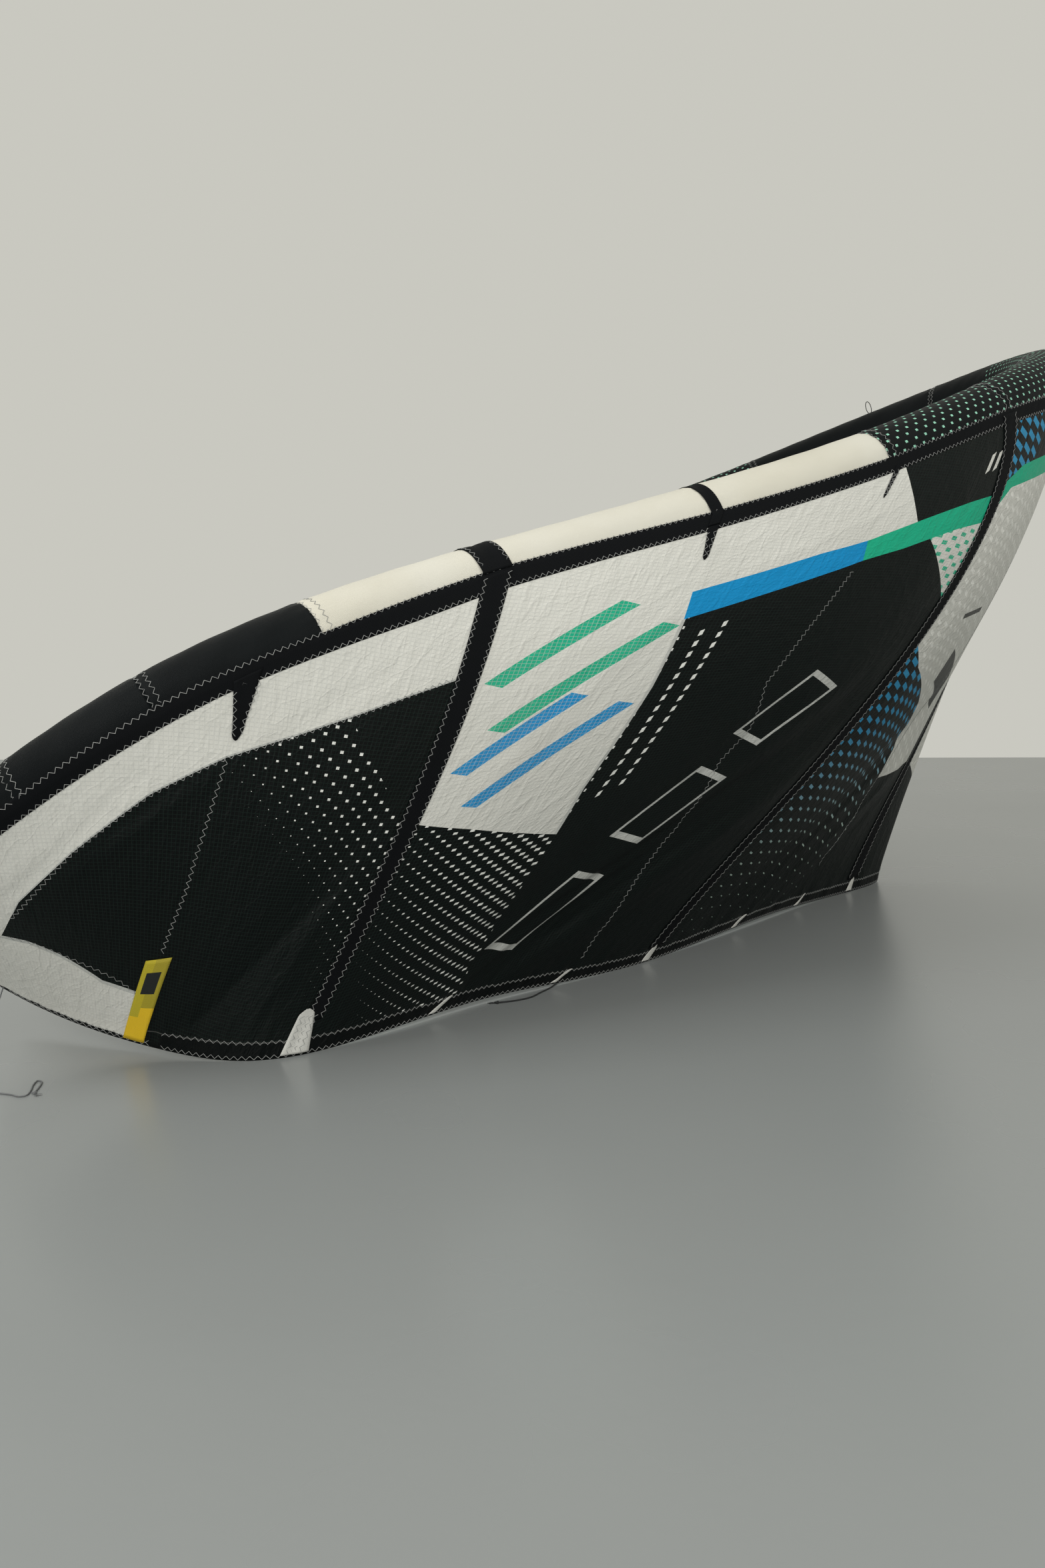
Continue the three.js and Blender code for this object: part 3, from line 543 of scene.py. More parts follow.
class Amount:
    """A number that varies over a surface, so that it can be used in plain sums."""

    def __init__(self, painter: "Painter", link: bpy.types.NodeSocket) -> None:
        """Wraps a socket of a painter's tree."""
        self.painter = painter
        self.link = link

    def sum_node(self, operation: str, *others: "Amount | float", first: "Amount | float | None" = None) -> "Amount":
        """Adds one Math node.

        Args:
            operation: The node's operation.
            others: What comes after the first input.
            first: The first input, when it isn't this amount.

        Returns:
            The result.
        """
        values = (self if first is None else first, *others)
        node = self.painter.node("ShaderNodeMath", {"operation": operation}, dict(enumerate(values)))
        return Amount(self.painter, node.outputs[0])

    def __add__(self, other: "Amount | float") -> "Amount":
        """This plus other."""
        return self.sum_node("ADD", other)

    __radd__ = __add__

    def __sub__(self, other: "Amount | float") -> "Amount":
        """This minus other."""
        return self.sum_node("SUBTRACT", other)

    def __rsub__(self, other: float) -> "Amount":
        """Other minus this."""
        return self.sum_node("SUBTRACT", self, first=other)

    def __mul__(self, other: "Amount | float") -> "Amount":
        """This times other."""
        return self.sum_node("MULTIPLY", other)

    __rmul__ = __mul__

    def __truediv__(self, other: "Amount | float") -> "Amount":
        """This divided by other."""
        return self.sum_node("DIVIDE", other)

    def __lt__(self, other: "Amount | float") -> "Amount":
        """One where this is less than other."""
        return self.sum_node("LESS_THAN", other)

    def __gt__(self, other: "Amount | float") -> "Amount":
        """One where this is more than other."""
        return self.sum_node("GREATER_THAN", other)

    def __or__(self, other: "Amount") -> "Amount":
        """The larger of the two."""
        return self.sum_node("MAXIMUM", other)

    def __abs__(self) -> "Amount":
        """Its size without a sign."""
        return self.sum_node("ABSOLUTE")

    def floor(self) -> "Amount":
        """The whole number below."""
        return self.sum_node("FLOOR")

    def fraction(self) -> "Amount":
        """What is left over the whole number below."""
        return self.sum_node("FRACT")

    def sine(self) -> "Amount":
        """Its sine."""
        return self.sum_node("SINE")

    def held(self) -> "Amount":
        """Kept between nothing and one."""
        return self.sum_node("MAXIMUM", 0.0).sum_node("MINIMUM", 1.0)


Colour = tuple[float, float, float, float]


def plug(tree: bpy.types.NodeTree, node: bpy.types.Node, inputs: dict | None) -> bpy.types.Node:
    """Links or sets a node's sockets, and gives the node back."""
    for key, value in (inputs or {}).items():
        if isinstance(value, Amount):
            value = value.link
        if isinstance(value, bpy.types.NodeSocket):
            tree.links.new(value, node.inputs[key])
        else:
            node.inputs[key].default_value = value
    return node


class Painter:
    """Builds one procedural finish, node by node."""

    def __init__(self, name: str) -> None:
        """Starts an empty finish with its two surface directions.

        Args:
            name: The material's name.
        """
        self.material = bpy.data.materials.new(name)
        self.material.use_nodes = True
        self.tree = self.material.node_tree
        self.tree.nodes.clear()
        self.u, self.v = self.pair("UVMap")
        self.across, self.down, self.print_across = self.u, self.v, self.u

    def lay(self, width: float, shear: float, squeeze: float) -> None:
        """Turns the cloth's threads square to each other.

        Args:
            width: Metres across the threads for each metre along the leading edge.
            shear: Metres down the threads for each metre along it.
            squeeze: Narrowness of the printed dots.
        """
        self.across = self.u * width
        self.down = self.v + self.u * shear
        self.print_across = self.across * squeeze

    def node(self, kind: str, settings: dict | None = None, inputs: dict | None = None) -> bpy.types.Node:
        """Adds a node.

        Args:
            kind: The node's type.
            settings: Its own settings; points is the line of a Float Curve.
            inputs: Values or links of its sockets.

        Returns:
            The node.
        """
        made = self.tree.nodes.new(kind)
        for key, value in (settings or {}).items():
            if key != "points":
                setattr(made, key, value)
                continue
            line = made.mapping.curves[0].points
            while len(line) < len(value):
                line.new(0.5, 0.5)
            for spot, place in zip(line, value):
                spot.location = place
                spot.handle_type = "VECTOR"
            made.mapping.update()
        return plug(self.tree, made, inputs)

    def pair(self, name: str) -> tuple[Amount, Amount]:
        """The two amounts of a UV map."""
        source = self.node("ShaderNodeUVMap", {"uv_map": name})
        split = self.node("ShaderNodeSeparateXYZ", inputs={0: source.outputs[0]})
        return Amount(self, split.outputs[0]), Amount(self, split.outputs[1])

    def line(self, place: Amount, spots: tuple[tuple[float, float], ...]) -> Amount:
        """A value that follows a drawn line over the place.

        Args:
            place: Where on the surface.
            spots: Places and values of the line's corners.

        Returns:
            The value.
        """
        rising = sorted(spots)
        low, high = rising[0][0], rising[-1][0]
        least = min(y for _, y in rising)
        most = max(y for _, y in rising)
        points = [((x - low) / (high - low), (y - least) / (most - least)) for x, y in rising]
        share = ((place - low) / (high - low)).held()
        curve = self.node("ShaderNodeFloatCurve", {"points": points}, {"Value": share})
        return Amount(self, curve.outputs[0]) * (most - least) + least

    def noise(self, scale: float, detail: float = 3.0, stretch: tuple[float, float] | None = None) -> Amount:
        """Soft noise over the object, or over its own map where it is stretched.

        Args:
            scale: Repeats in a metre.
            detail: Steps of finer noise.
            stretch: Factors along and down the surface.

        Returns:
            The noise, from 0 to 1.
        """
        if stretch:
            u, v = self.u * stretch[0], self.v * stretch[1]
            place = self.node("ShaderNodeCombineXYZ", inputs={0: u, 1: v}).outputs[0]
        else:
            place = self.node("ShaderNodeTexCoord").outputs["Object"]
        made = self.node("ShaderNodeTexNoise", inputs={"Vector": place, "Scale": scale, "Detail": detail})
        return Amount(self, made.outputs[0])

    def mix(self, share: Amount | float, low: object, high: object) -> bpy.types.NodeSocket:
        """Goes from one colour to another as the share rises."""
        settings = {"data_type": "RGBA", "clamp_factor": True}
        return self.node("ShaderNodeMix", settings, {0: share, 6: low, 7: high}).outputs[2]

    def ripstop(self, pitch: float, width: float) -> Amount:
        """One on the heavier threads of a ripstop cloth."""
        across = (self.across / pitch).fraction() < width
        return across | ((self.down / pitch).fraction() < width)

    def weave(self, pitch: float) -> Amount:
        """Height of a plain weave."""
        rate = math.pi / pitch
        return abs((self.u * rate).sine()) * abs((self.v * rate).sine())

    def dots(self, pitch: tuple[float, float], half: Amount | float, stagger: float = 0.5) -> Amount:
        """One inside square dots.

        Args:
            pitch: Spacing along and down.
            half: Half the side of a dot.
            stagger: Shift of each row against the one above, in spacings.

        Returns:
            The mask.
        """
        down = self.down / pitch[1]
        along = (self.print_across / pitch[0] + down.floor() * stagger).fraction()
        x = abs(along - 0.5) * pitch[0]
        y = abs(down.fraction() - 0.5) * pitch[1]
        return (x < half) * (y < half)

    def bar(self, middle: tuple[float, float], size: tuple[float, float], turn: float, shear: float) -> Amount:
        """One inside a slanted bar.

        Args:
            middle: Its middle on the surface.
            size: Its half length and half width.
            turn: Angle of its length.
            shear: Slant of its ends.

        Returns:
            The mask.
        """
        x, y = self.u - middle[0], self.v - middle[1]
        run = x * math.cos(turn) + y * math.sin(turn)
        across = y * math.cos(turn) - x * math.sin(turn)
        return (abs(run + across * shear) < size[0]) * (abs(across) < size[1])

    def finish(self, base: object, rough: Amount | float, height: Amount | None = None, depth: float = 0.0003,
               **constants: float) -> bpy.types.Material:
        """Ends the finish in its shader.

        Args:
            base: Colour, or the link that gives it.
            rough: Roughness.
            height: Relief for the bump.
            depth: Metres of relief at height 1.
            constants: Other sockets of the shader, with spaces as low lines.

        Returns:
            The material.
        """
        inputs = {"Base Color": base, "Roughness": rough}
        inputs.update({key.replace("_", " "): value for key, value in constants.items()})
        if height is not None:
            bump = self.node("ShaderNodeBump", inputs={"Height": height, "Distance": depth, "Strength": 1.0})
            inputs["Normal"] = bump.outputs[0]
        shader = self.node("ShaderNodeBsdfPrincipled", inputs=inputs)
        self.node("ShaderNodeOutputMaterial", inputs={0: shader.outputs[0]})
        return self.material


BLACK = (0.0014, 0.0027, 0.0027, 1)
BLACK_THREAD = (0.0062, 0.0128, 0.0108, 1)
WHITE = (0.70, 0.70, 0.66, 1)
WHITE_THREAD = (0.60, 0.61, 0.59, 1)
PALE = (0.68, 0.68, 0.64, 1)
PALE_DOT = (0.86, 0.86, 0.82, 1)
BLUE = (0.006, 0.27, 0.60, 1)
GREEN = (0.012, 0.43, 0.25, 1)
GREY = (0.50, 0.51, 0.49, 1)
DOT_WHITE = (0.78, 0.79, 0.76, 1)
DOT_BLUE = (0.03, 0.27, 0.50, 1)
DOT_LOW = (0.36, 0.46, 0.41, 1)
SOIL = (0.30, 0.29, 0.25, 1)
CREAM = (0.64, 0.62, 0.53, 1)
CREAM_TINT = (0.70, 0.69, 0.63, 1)
CREAM_SOIL = (0.42, 0.38, 0.28, 1)
INK = (0.0018, 0.0028, 0.0034, 1)
INK_TINT = (0.0045, 0.0064, 0.0074, 1)
INK_SOIL = (0.03, 0.034, 0.036, 1)
TUBE_DOT = (0.30, 0.62, 0.48, 1)
YELLOW = (0.86, 0.56, 0.004, 1)
YELLOW_STEP = (0.52, 0.43, 0.010, 1)
YELLOW_WORN = (0.45, 0.38, 0.10, 1)
OLIVE = (0.40, 0.33, 0.012, 1)
TAB_SQUARE = (0.006, 0.008, 0.008, 1)
THREAD_DARK = (0.20, 0.205, 0.205, 1)
THREAD_LIGHT = (0.46, 0.47, 0.46, 1)
TIP_TAB_LENGTH = 0.225
# Generic motifs of the mid field: middles of outlined rhombi, half sizes and line width
RHOMBI = ((1.93, 1.29), (1.75, 1.07), (1.57, 0.85))
RHOMB_HALF = (0.15, 0.115)
RHOMB_LINE = 0.085
# Its slanted bars: middle, half size, turn and colour
MOTIF_BARS = (
    ((2.50, 0.24), (0.15, 0.023), 0.32, GREEN),
    ((2.40, 0.36), (0.19, 0.023), 0.32, GREEN),
    ((2.51, 0.455), (0.13, 0.023), 0.32, BLUE),
    ((2.39, 0.56), (0.17, 0.023), 0.32, BLUE),
)
# Two short bars beside the inner strut, by their place along
SHORT_BARS = (1.25, 1.285)


class Cell(Enum):
    """Fields of the sail between two struts, with the struts' numbers."""

    CENTRE = ("centre", 0, 1)
    MID = ("mid", 1, 2)
    TIP = ("tip", 2, 3)

    @property
    def tag(self) -> str:
        """The field's name in the nodes' names."""
        return self.value[0]


@dataclass(frozen=True)
class SailFinish:
    """Coated ripstop in colour blocks, one layout for each field of the sail."""

    cell: Cell
    grid: float = 0.0085

    def _tip(self, p: Painter) -> list[tuple[Amount, object]]:
        """Blocks of the field at the tip: white edges, and dots that fade towards the tip."""
        u, v = p.u, p.v
        p.lay(0.70, 0.50, 0.87)
        edge_of_dots = p.line(v, ((0.2, 3.03), (0.36, 2.91), (0.58, 2.73), (0.8, 2.6)))
        inside = u - edge_of_dots
        gone = (inside / (0.32 - v * 0.08)).held()
        fade = (1 - gone * gone) * (inside > -0.012) * ((0.98 - v) / 0.2).held()
        seam = ((2.7, 0.235), (2.86, 0.215), (3.0, 0.20), (3.15, 0.18), (3.33, 0.15), (3.52, 0.14),
                (3.74, 0.16), (3.92, 0.19), (4.01, 0.25), (4.14, 0.26))
        low = ((3.4, 0.70), (3.56, 0.593), (3.69, 0.516), (3.83, 0.387), (3.93, 0.305), (4.02, 0.25), (4.14, 0.21))
        dots = p.dots((0.0357, 0.0164), 0.0031 * fade)
        top = v < p.line(u, seam)
        tail = (v > p.line(u, low)) * (u > 3.52)
        rim = (abs(v - p.line(u, low)) < 0.005) * (u > 3.5)
        edge = abs(v - p.line(u, seam)) < 0.002
        return [(dots, DOT_WHITE), (tail, WHITE), (rim, GREY), (top, WHITE), (edge * (u < 3.95), GREY)]

    def _mid(self, p: Painter) -> list[tuple[Amount, object]]:
        """Blocks of the field between the inner and the outer strut."""
        u, v = p.u, p.v
        p.lay(0.69, 0.41, 0.60)
        upper = p.line(u, ((1.1, 0.295), (1.41, 0.281), (1.69, 0.268), (1.85, 0.247), (2.02, 0.235), (2.22, 0.22)))
        lower = p.line(u, ((1.1, 0.39), (1.32, 0.370), (1.53, 0.358), (1.68, 0.337), (1.85, 0.325), (2.2, 0.30)))
        foot = p.line(u, ((2.1, 0.94), (2.17, 0.90), (2.50, 0.695), (2.71, 0.572), (2.75, 0.55)))
        edge = p.line(v, ((0.2, 2.205), (0.30, 2.19), (0.49, 2.178), (0.65, 2.186), (0.76, 2.192), (0.95, 2.168)))
        slant = u > 1.66 - (v - 0.08) * 0.68
        stripe = (v > upper) * (v < lower) * (u < edge)
        green_edge = u < 1.70 - (v - 0.27) * 0.3
        panel = (u > edge) * (v < foot)
        right = p.line(v, ((0.85, 2.175), (1.0, 2.16), (1.12, 2.14), (1.24, 2.12), (1.43, 2.08), (1.6, 2.05)))
        inside = u - right
        far_off = inside * 0.9 + (v - foot) * 0.62
        gone = (far_off / 0.66).held()
        dots = p.dots((0.0222, 0.0148), 0.0038 * (1 - gone * gone) * (inside > 0))
        corner = (u + v < 1.79) * (v > lower)
        green_dots = p.dots((0.037, 0.0185), 0.0062)
        rhombs = None
        for middle in RHOMBI:
            size = abs(u - middle[0]) / RHOMB_HALF[0] + abs(v - middle[1]) / RHOMB_HALF[1]
            line = abs(size - 1) < RHOMB_LINE
            rhombs = line if rhombs is None else rhombs | line
        lanes_of_ticks = (abs(u - 2.115) < 0.006) | (abs(u - 2.055) < 0.006)
        ticks = lanes_of_ticks * ((v / 0.030).fraction() < 0.5) * (v > 0.36) * (v < 0.84)
        paint = [
            (dots, DOT_WHITE),
            (rhombs, GREY),
            (ticks, DOT_WHITE),
            ((v < upper) * slant, WHITE),
            (panel, WHITE),
            ((abs(u - edge) < 0.005) * (v > lower) * (v < foot), GREY),
            (corner, WHITE),
            (corner * green_dots, GREEN),
            (stripe, BLUE),
            (stripe * green_edge, GREEN),
        ]
        for middle, size, turn, colour in MOTIF_BARS:
            paint.append((p.bar(middle, size, turn, 0.9) * panel, colour))
        for along in SHORT_BARS:
            paint.append((p.bar((along, 0.165), (0.03, 0.008), 1.57, 0.5), WHITE))
        return paint

    def _centre(self, p: Painter) -> list[tuple[Amount, object]]:
        """Blocks of the field beside the middle strut."""
        u, v = p.u, p.v
        upper = p.line(u, ((0.0, 0.19), (0.97, 0.21), (1.06, 0.215), (1.16, 0.27), (1.3, 0.29)))
        lower = p.line(u, ((0.0, 0.26), (0.95, 0.28), (1.08, 0.285), (1.12, 0.34), (1.3, 0.4)))
        border = p.line(u, ((0.0, 1.36), (0.27, 1.43), (0.36, 1.44), (0.40, 1.32), (0.63, 1.11), (0.78, 1.02),
                            (0.96, 0.92), (1.12, 0.78), (1.3, 0.6)))
        p.lay(0.94, 0.62, 0.33)
        right = p.line(v, ((0.8, 0.99), (1.01, 0.80), (1.14, 0.56), (1.29, 0.42), (1.46, 0.37), (1.7, 0.32),
                           (2.0, 0.42)))
        fade = ((2.02 - v) / 1.15).held() * (u > right)
        dots = p.dots((0.042, 0.021), 0.0090 * fade)
        pale_dots = p.dots((0.036, 0.018), 0.0055)
        pale = (v > lower) * (v < border)
        return [
            (dots, DOT_BLUE),
            (dots * ((v - 1.15) / 0.5).held(), DOT_LOW),
            (pale, PALE),
            (pale * pale_dots, PALE_DOT),
            ((v > upper) * (v < lower), GREEN),
            (p.bar((0.76, 0.76), (0.1, 0.01), 0.0, 0.6), BLACK),
            (p.bar((0.46, 1.04), (0.2, 0.055), -0.35, 0.7) * pale, BLACK),
            (abs(v - border) < 0.006, WHITE),
        ]

    def build(self) -> bpy.types.Material:
        """Mixes the blocks with the cloth's grid, wear and creases.

        Returns:
            The material.
        """
        p = Painter(f"ripstop_{self.cell.tag}")
        layers = {Cell.TIP: self._tip, Cell.MID: self._mid, Cell.CENTRE: self._centre}[self.cell](p)
        above, _ = p.pair("border")
        threads = p.ripstop(self.grid, 0.16)
        colour = p.mix(threads, BLACK, BLACK_THREAD)
        pale = None
        for mask, tint in layers:
            colour = p.mix(mask, colour, tint)
            if tint in (WHITE, PALE):
                pale = mask if pale is None else pale | mask
        hem = above < HEM_BAND
        seam = abs(above - HEM_BAND) < 0.0012
        colour = p.mix(threads * pale * (1 - hem) * 0.4, colour, WHITE_THREAD)
        wear = (p.noise(2.4, 4.0) - 0.42) * 2.0
        colour = p.mix(wear.held() * (0.008 + pale * 0.17), colour, SOIL)
        if self.cell is not Cell.TIP:
            colour = p.mix(hem, colour, BLACK)
        else:
            colour = p.mix(hem * (p.u < 3.45), colour, BLACK)
            colour = p.mix(above < 0.012, colour, BLACK)
        colour = p.mix(seam * 0.12, colour, GREY)
        crumple = p.noise(1.0, 3.0, (14.0, 9.0))
        grain = p.noise(60.0, 2.0)
        folds = (1 - abs(p.noise(1.0, 3.0, (21.0, 8.5)) - 0.5) * 11).held()
        crackle = (1 - abs(p.noise(1.0, 2.0, (13.0, 27.0)) - 0.5) * 16).held()
        height = threads * 0.22 + crumple * 3.2 + grain * 0.15 + folds + crackle * 0.5
        rough = 0.46 + crumple * 0.16
        return p.finish(colour, rough, height, 0.0009, Specular_IOR_Level=0.14)


@dataclass(frozen=True)
class TubeFinish:
    """Woven polyester of the tube, black or cream, with or without small dots."""

    name: str
    base: Colour
    tint: Colour
    dots: bool = False
    both_halves: bool = False
    rough: float = 0.5

    def build(self) -> bpy.types.Material:
        """Weave, a soft mottle and light dirt.

        Returns:
            The material.
        """
        p = Painter(self.name)
        mottle = p.noise(5.0, 4.0)
        colour = p.mix(mottle, self.base, self.tint)
        if self.dots:
            outer = p.v < (0.48 if self.both_halves else 0.31)
            if not self.both_halves:
                outer = outer * (p.u > -0.04)
            colour = p.mix(p.dots((0.033, 0.021), 0.0036) * outer, colour, TUBE_DOT)
        dirt = ((p.noise(1.7, 5.0) - 0.52) * 3.2).held()
        colour = p.mix(dirt * 0.3, colour, CREAM_SOIL if self.base == CREAM else INK_SOIL)
        height = p.weave(0.0022) * 0.5 + p.noise(1.0, 2.0, (9.0, 16.0)) * 2.2
        return p.finish(colour, self.rough + mottle * 0.14, height, 0.0006, Specular_IOR_Level=0.075)


@dataclass(frozen=True)
class WebbingFinish:
    """Tape, straps and patches: ribbed along their length."""

    name: str
    base: Colour
    tint: Colour
    pitch: float = 0.0024

    def build(self) -> bpy.types.Material:
        """Ribs over a mottled ground.

        Returns:
            The material.
        """
        p = Painter(self.name)
        ribs = abs((p.u * (math.pi / self.pitch)).sine()) * 0.6 + abs((p.v * (math.pi / 0.0036)).sine()) * 0.4
        mottle = p.noise(14.0, 4.0)
        colour = p.mix(ribs * 0.5 + mottle * 0.4, self.base, self.tint)
        return p.finish(colour, 0.6 + mottle * 0.16, ribs + mottle, 0.0005, Specular_IOR_Level=0.07)


@dataclass(frozen=True)
class TipTabFinish:
    """Yellow tab at the tip, stepping to olive towards its upper end."""

    name: str = "tab_yellow"

    def build(self) -> bpy.types.Material:
        """Steps of yellow, olive and a plain dark square over a woven ground.

        Returns:
            The material.
        """
        p = Painter(self.name)
        part = p.v / TIP_TAB_LENGTH
        colour = p.mix(part > 0.42, YELLOW, OLIVE)
        colour = p.mix((part > 0.30) * (p.u > 0.004), colour, YELLOW_STEP)
        wear = p.noise(22.0, 4.0)
        colour = p.mix(wear * 0.2, colour, YELLOW_WORN)
        dark = (abs(part - 0.72) < 0.13) * (abs(p.u) < 0.014)
        colour = p.mix(dark, colour, TAB_SQUARE)
        return p.finish(colour, 0.5 + wear * 0.2, p.weave(0.0026) + wear, 0.0004)


@dataclass(frozen=True)
class CordFinish:
    """Braided line: a diagonal plait that follows the cord."""

    name: str
    base: Colour
    tint: Colour
    pitch: float = 0.0022

    def build(self) -> bpy.types.Material:
        """Two crossing rows of strands.

        Returns:
            The material.
        """
        p = Painter(self.name)
        rate = math.pi / self.pitch
        strands = abs(((p.u + p.v) * rate).sine()) * abs(((p.u - p.v) * rate).sine())
        fuzz = p.noise(180.0, 3.0)
        colour = p.mix(strands * 0.7 + fuzz * 0.3, self.base, self.tint)
        return p.finish(colour, 0.68 + fuzz * 0.2, strands + fuzz * 0.4, 0.0005)


@dataclass(frozen=True)
class ThreadFinish:
    """Grey polyester sewing thread."""

    name: str = "thread"

    def build(self) -> bpy.types.Material:
        """A soft change of tone along the seams.

        Returns:
            The material.
        """
        p = Painter(self.name)
        tone = p.noise(35.0, 3.0)
        colour = p.mix(tone, THREAD_DARK, THREAD_LIGHT)
        return p.finish(colour, 0.55 + tone * 0.2, tone, 0.0002)


class Finishes:
    """Every finish, made once and looked up by name."""

    def __init__(self) -> None:
        """Builds the materials."""
        self.sail = {cell: SailFinish(cell).build() for cell in Cell}
        self.cream = TubeFinish("tube_cream", CREAM, CREAM_TINT, rough=0.44).build()
        self.ink = TubeFinish("tube_ink", INK, INK_TINT, rough=0.36).build()
        self.dotted = TubeFinish("tube_dotted", INK, INK_TINT, dots=True, rough=0.4).build()
        self.far_dotted = TubeFinish("tube_far_dotted", INK, INK_TINT, True, True, 0.4).build()
        self.tape = WebbingFinish("tape_black", (0.0022, 0.0028, 0.0036, 1), (0.0065, 0.0075, 0.0088, 1)).build()
        self.tab = WebbingFinish("tab_white", (0.60, 0.60, 0.57, 1), (0.76, 0.76, 0.73, 1)).build()
        self.yellow = TipTabFinish().build()
        self.line = CordFinish("line_grey", (0.075, 0.08, 0.085, 1), (0.30, 0.31, 0.32, 1)).build()
        self.bridle = CordFinish("bridle_black", (0.008, 0.009, 0.010, 1), (0.035, 0.038, 0.04, 1)).build()
        self.thread = ThreadFinish().build()


def dress(obj: bpy.types.Object, finish: bpy.types.Material, slot: Slot, *nodes: str) -> bpy.types.Object:
    """Gives a piece its finish, hangs it under the root body and hides the CAD nodes that it replaces.

    Args:
        obj: The piece.
        finish: Its material.
        slot: Not used.
        nodes: CAD nodes that it replaces.

    Returns:
        The piece.
    """
    obj.data.materials.clear()
    obj.data.materials.append(finish)
    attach(obj, "root")
    if nodes:
        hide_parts(*nodes)
    log.info("%s: %d faces", obj.name, len(obj.data.polygons))
    return obj


def lanes(start: float, end: float, step: float) -> np.ndarray:
    """Even places from start to end, about a step apart."""
    return np.linspace(start, end, max(2, int(round(abs(end - start) / step)) + 1))


@dataclass
class Sail:
    """Six fields of cloth between the struts."""

    finishes: Finishes
    lift: float = 0.008
    cut: dict[str, tuple[float, float, float]] = field(default_factory=lambda: {
        "centre_near": (1.29, 1.98, 1.99), "centre_far": (1.65, 1.93, 2.19),
        "mid_near": (1.90, 1.96, 1.79), "mid_far": (1.90, 1.93, 1.81),
        "tip_near": (1.33, 1.10, 0.66), "tip_far": (1.33, 1.10, 0.66)})

    def column(self, cell: Cell, side: Side, across: np.ndarray, share: np.ndarray) -> np.ndarray:
        """Where a field's column lies along the leading edge, on one row.

        Args:
            cell: The field.
            side: The half of the kite.
            across: 0 at the field's inner strut and 1 at its outer edge.
            share: Shares of the chord below the closing strip.

        Returns:
            The distances, with the half's sign.
        """
        _, inner, outer = cell.value
        first = STRUT_FOOT[inner]
        last = STRUT_FOOT[outer] if outer < 3 else HALF_SPAN
        place = first + (last - first) * across
        down = FORM.row(side.value * place, share)
        swing = (FORM.strut(inner, down) - first) * (1 - across)
        if outer < 3:
            swing = swing + (FORM.strut(outer, down) - last) * across
        return side.value * (place + swing)

    @staticmethod
    def supports(cell: Cell, side: Side) -> list[str]:
        """What holds a field: the tube above it and the struts beside it."""
        if cell is Cell.CENTRE:
            return ["tube_0", f"tube_1_{side.tag}", "strut_middle", f"strut_inner_{side.tag}"]
        if cell is Cell.MID:
            return [*(f"tube_{i}_{side.tag}" for i in (2, 3, 4)), f"strut_inner_{side.tag}", f"strut_outer_{side.tag}"]
        return [*(f"tube_{i}_{side.tag}" for i in (5, 6, 7)), f"strut_outer_{side.tag}"]

    def build(self) -> None:
        """Makes the fields, each a thin closed sheet whose rows and columns are spaced from its cut."""
        for side in Side:
            for cell in Cell:
                width, height, area = self.cut[f"{cell.tag}_{side.tag}"]
                rows = lanes(-self.lift, 1.0, CELL / height)
                columns = lanes(0.0, 1.0, CELL / width)
                share, across = np.meshgrid(rows, columns, indexing="ij")
                along = self.column(cell, side, across, share)
                down = FORM.row(along, share)
                outer = FORM.off(along, down, 0.0)
                inner = FORM.off(along, down, -SHEET)
                length = FORM.station(along.ravel()).length.reshape(along.shape)
                uv = np.stack([np.abs(along), down * length], -1)
                breadth = np.linalg.norm(np.diff(outer, axis=1), axis=-1).sum(axis=1)[:, None]
                edge = np.minimum(across, 1 - across) * breadth
                border = np.stack([(1 - down) * length, edge], -1)
                name = f"sail_{cell.tag}_{side.tag}"
                obj = Meshes.sheet(f"cloth_{cell.tag}_{side.tag}", outer, inner, {"UVMap": uv, "border": border})
                dress(obj, self.finishes.sail[cell], Slot.CANOPY, name)
                spread = np.linalg.norm(np.cross(outer[1:, :-1] - outer[:-1, :-1], outer[:-1, 1:] - outer[:-1, :-1]),
                                        axis=-1).sum()
                log.info("%s: %.3f square metres", obj.name, spread)


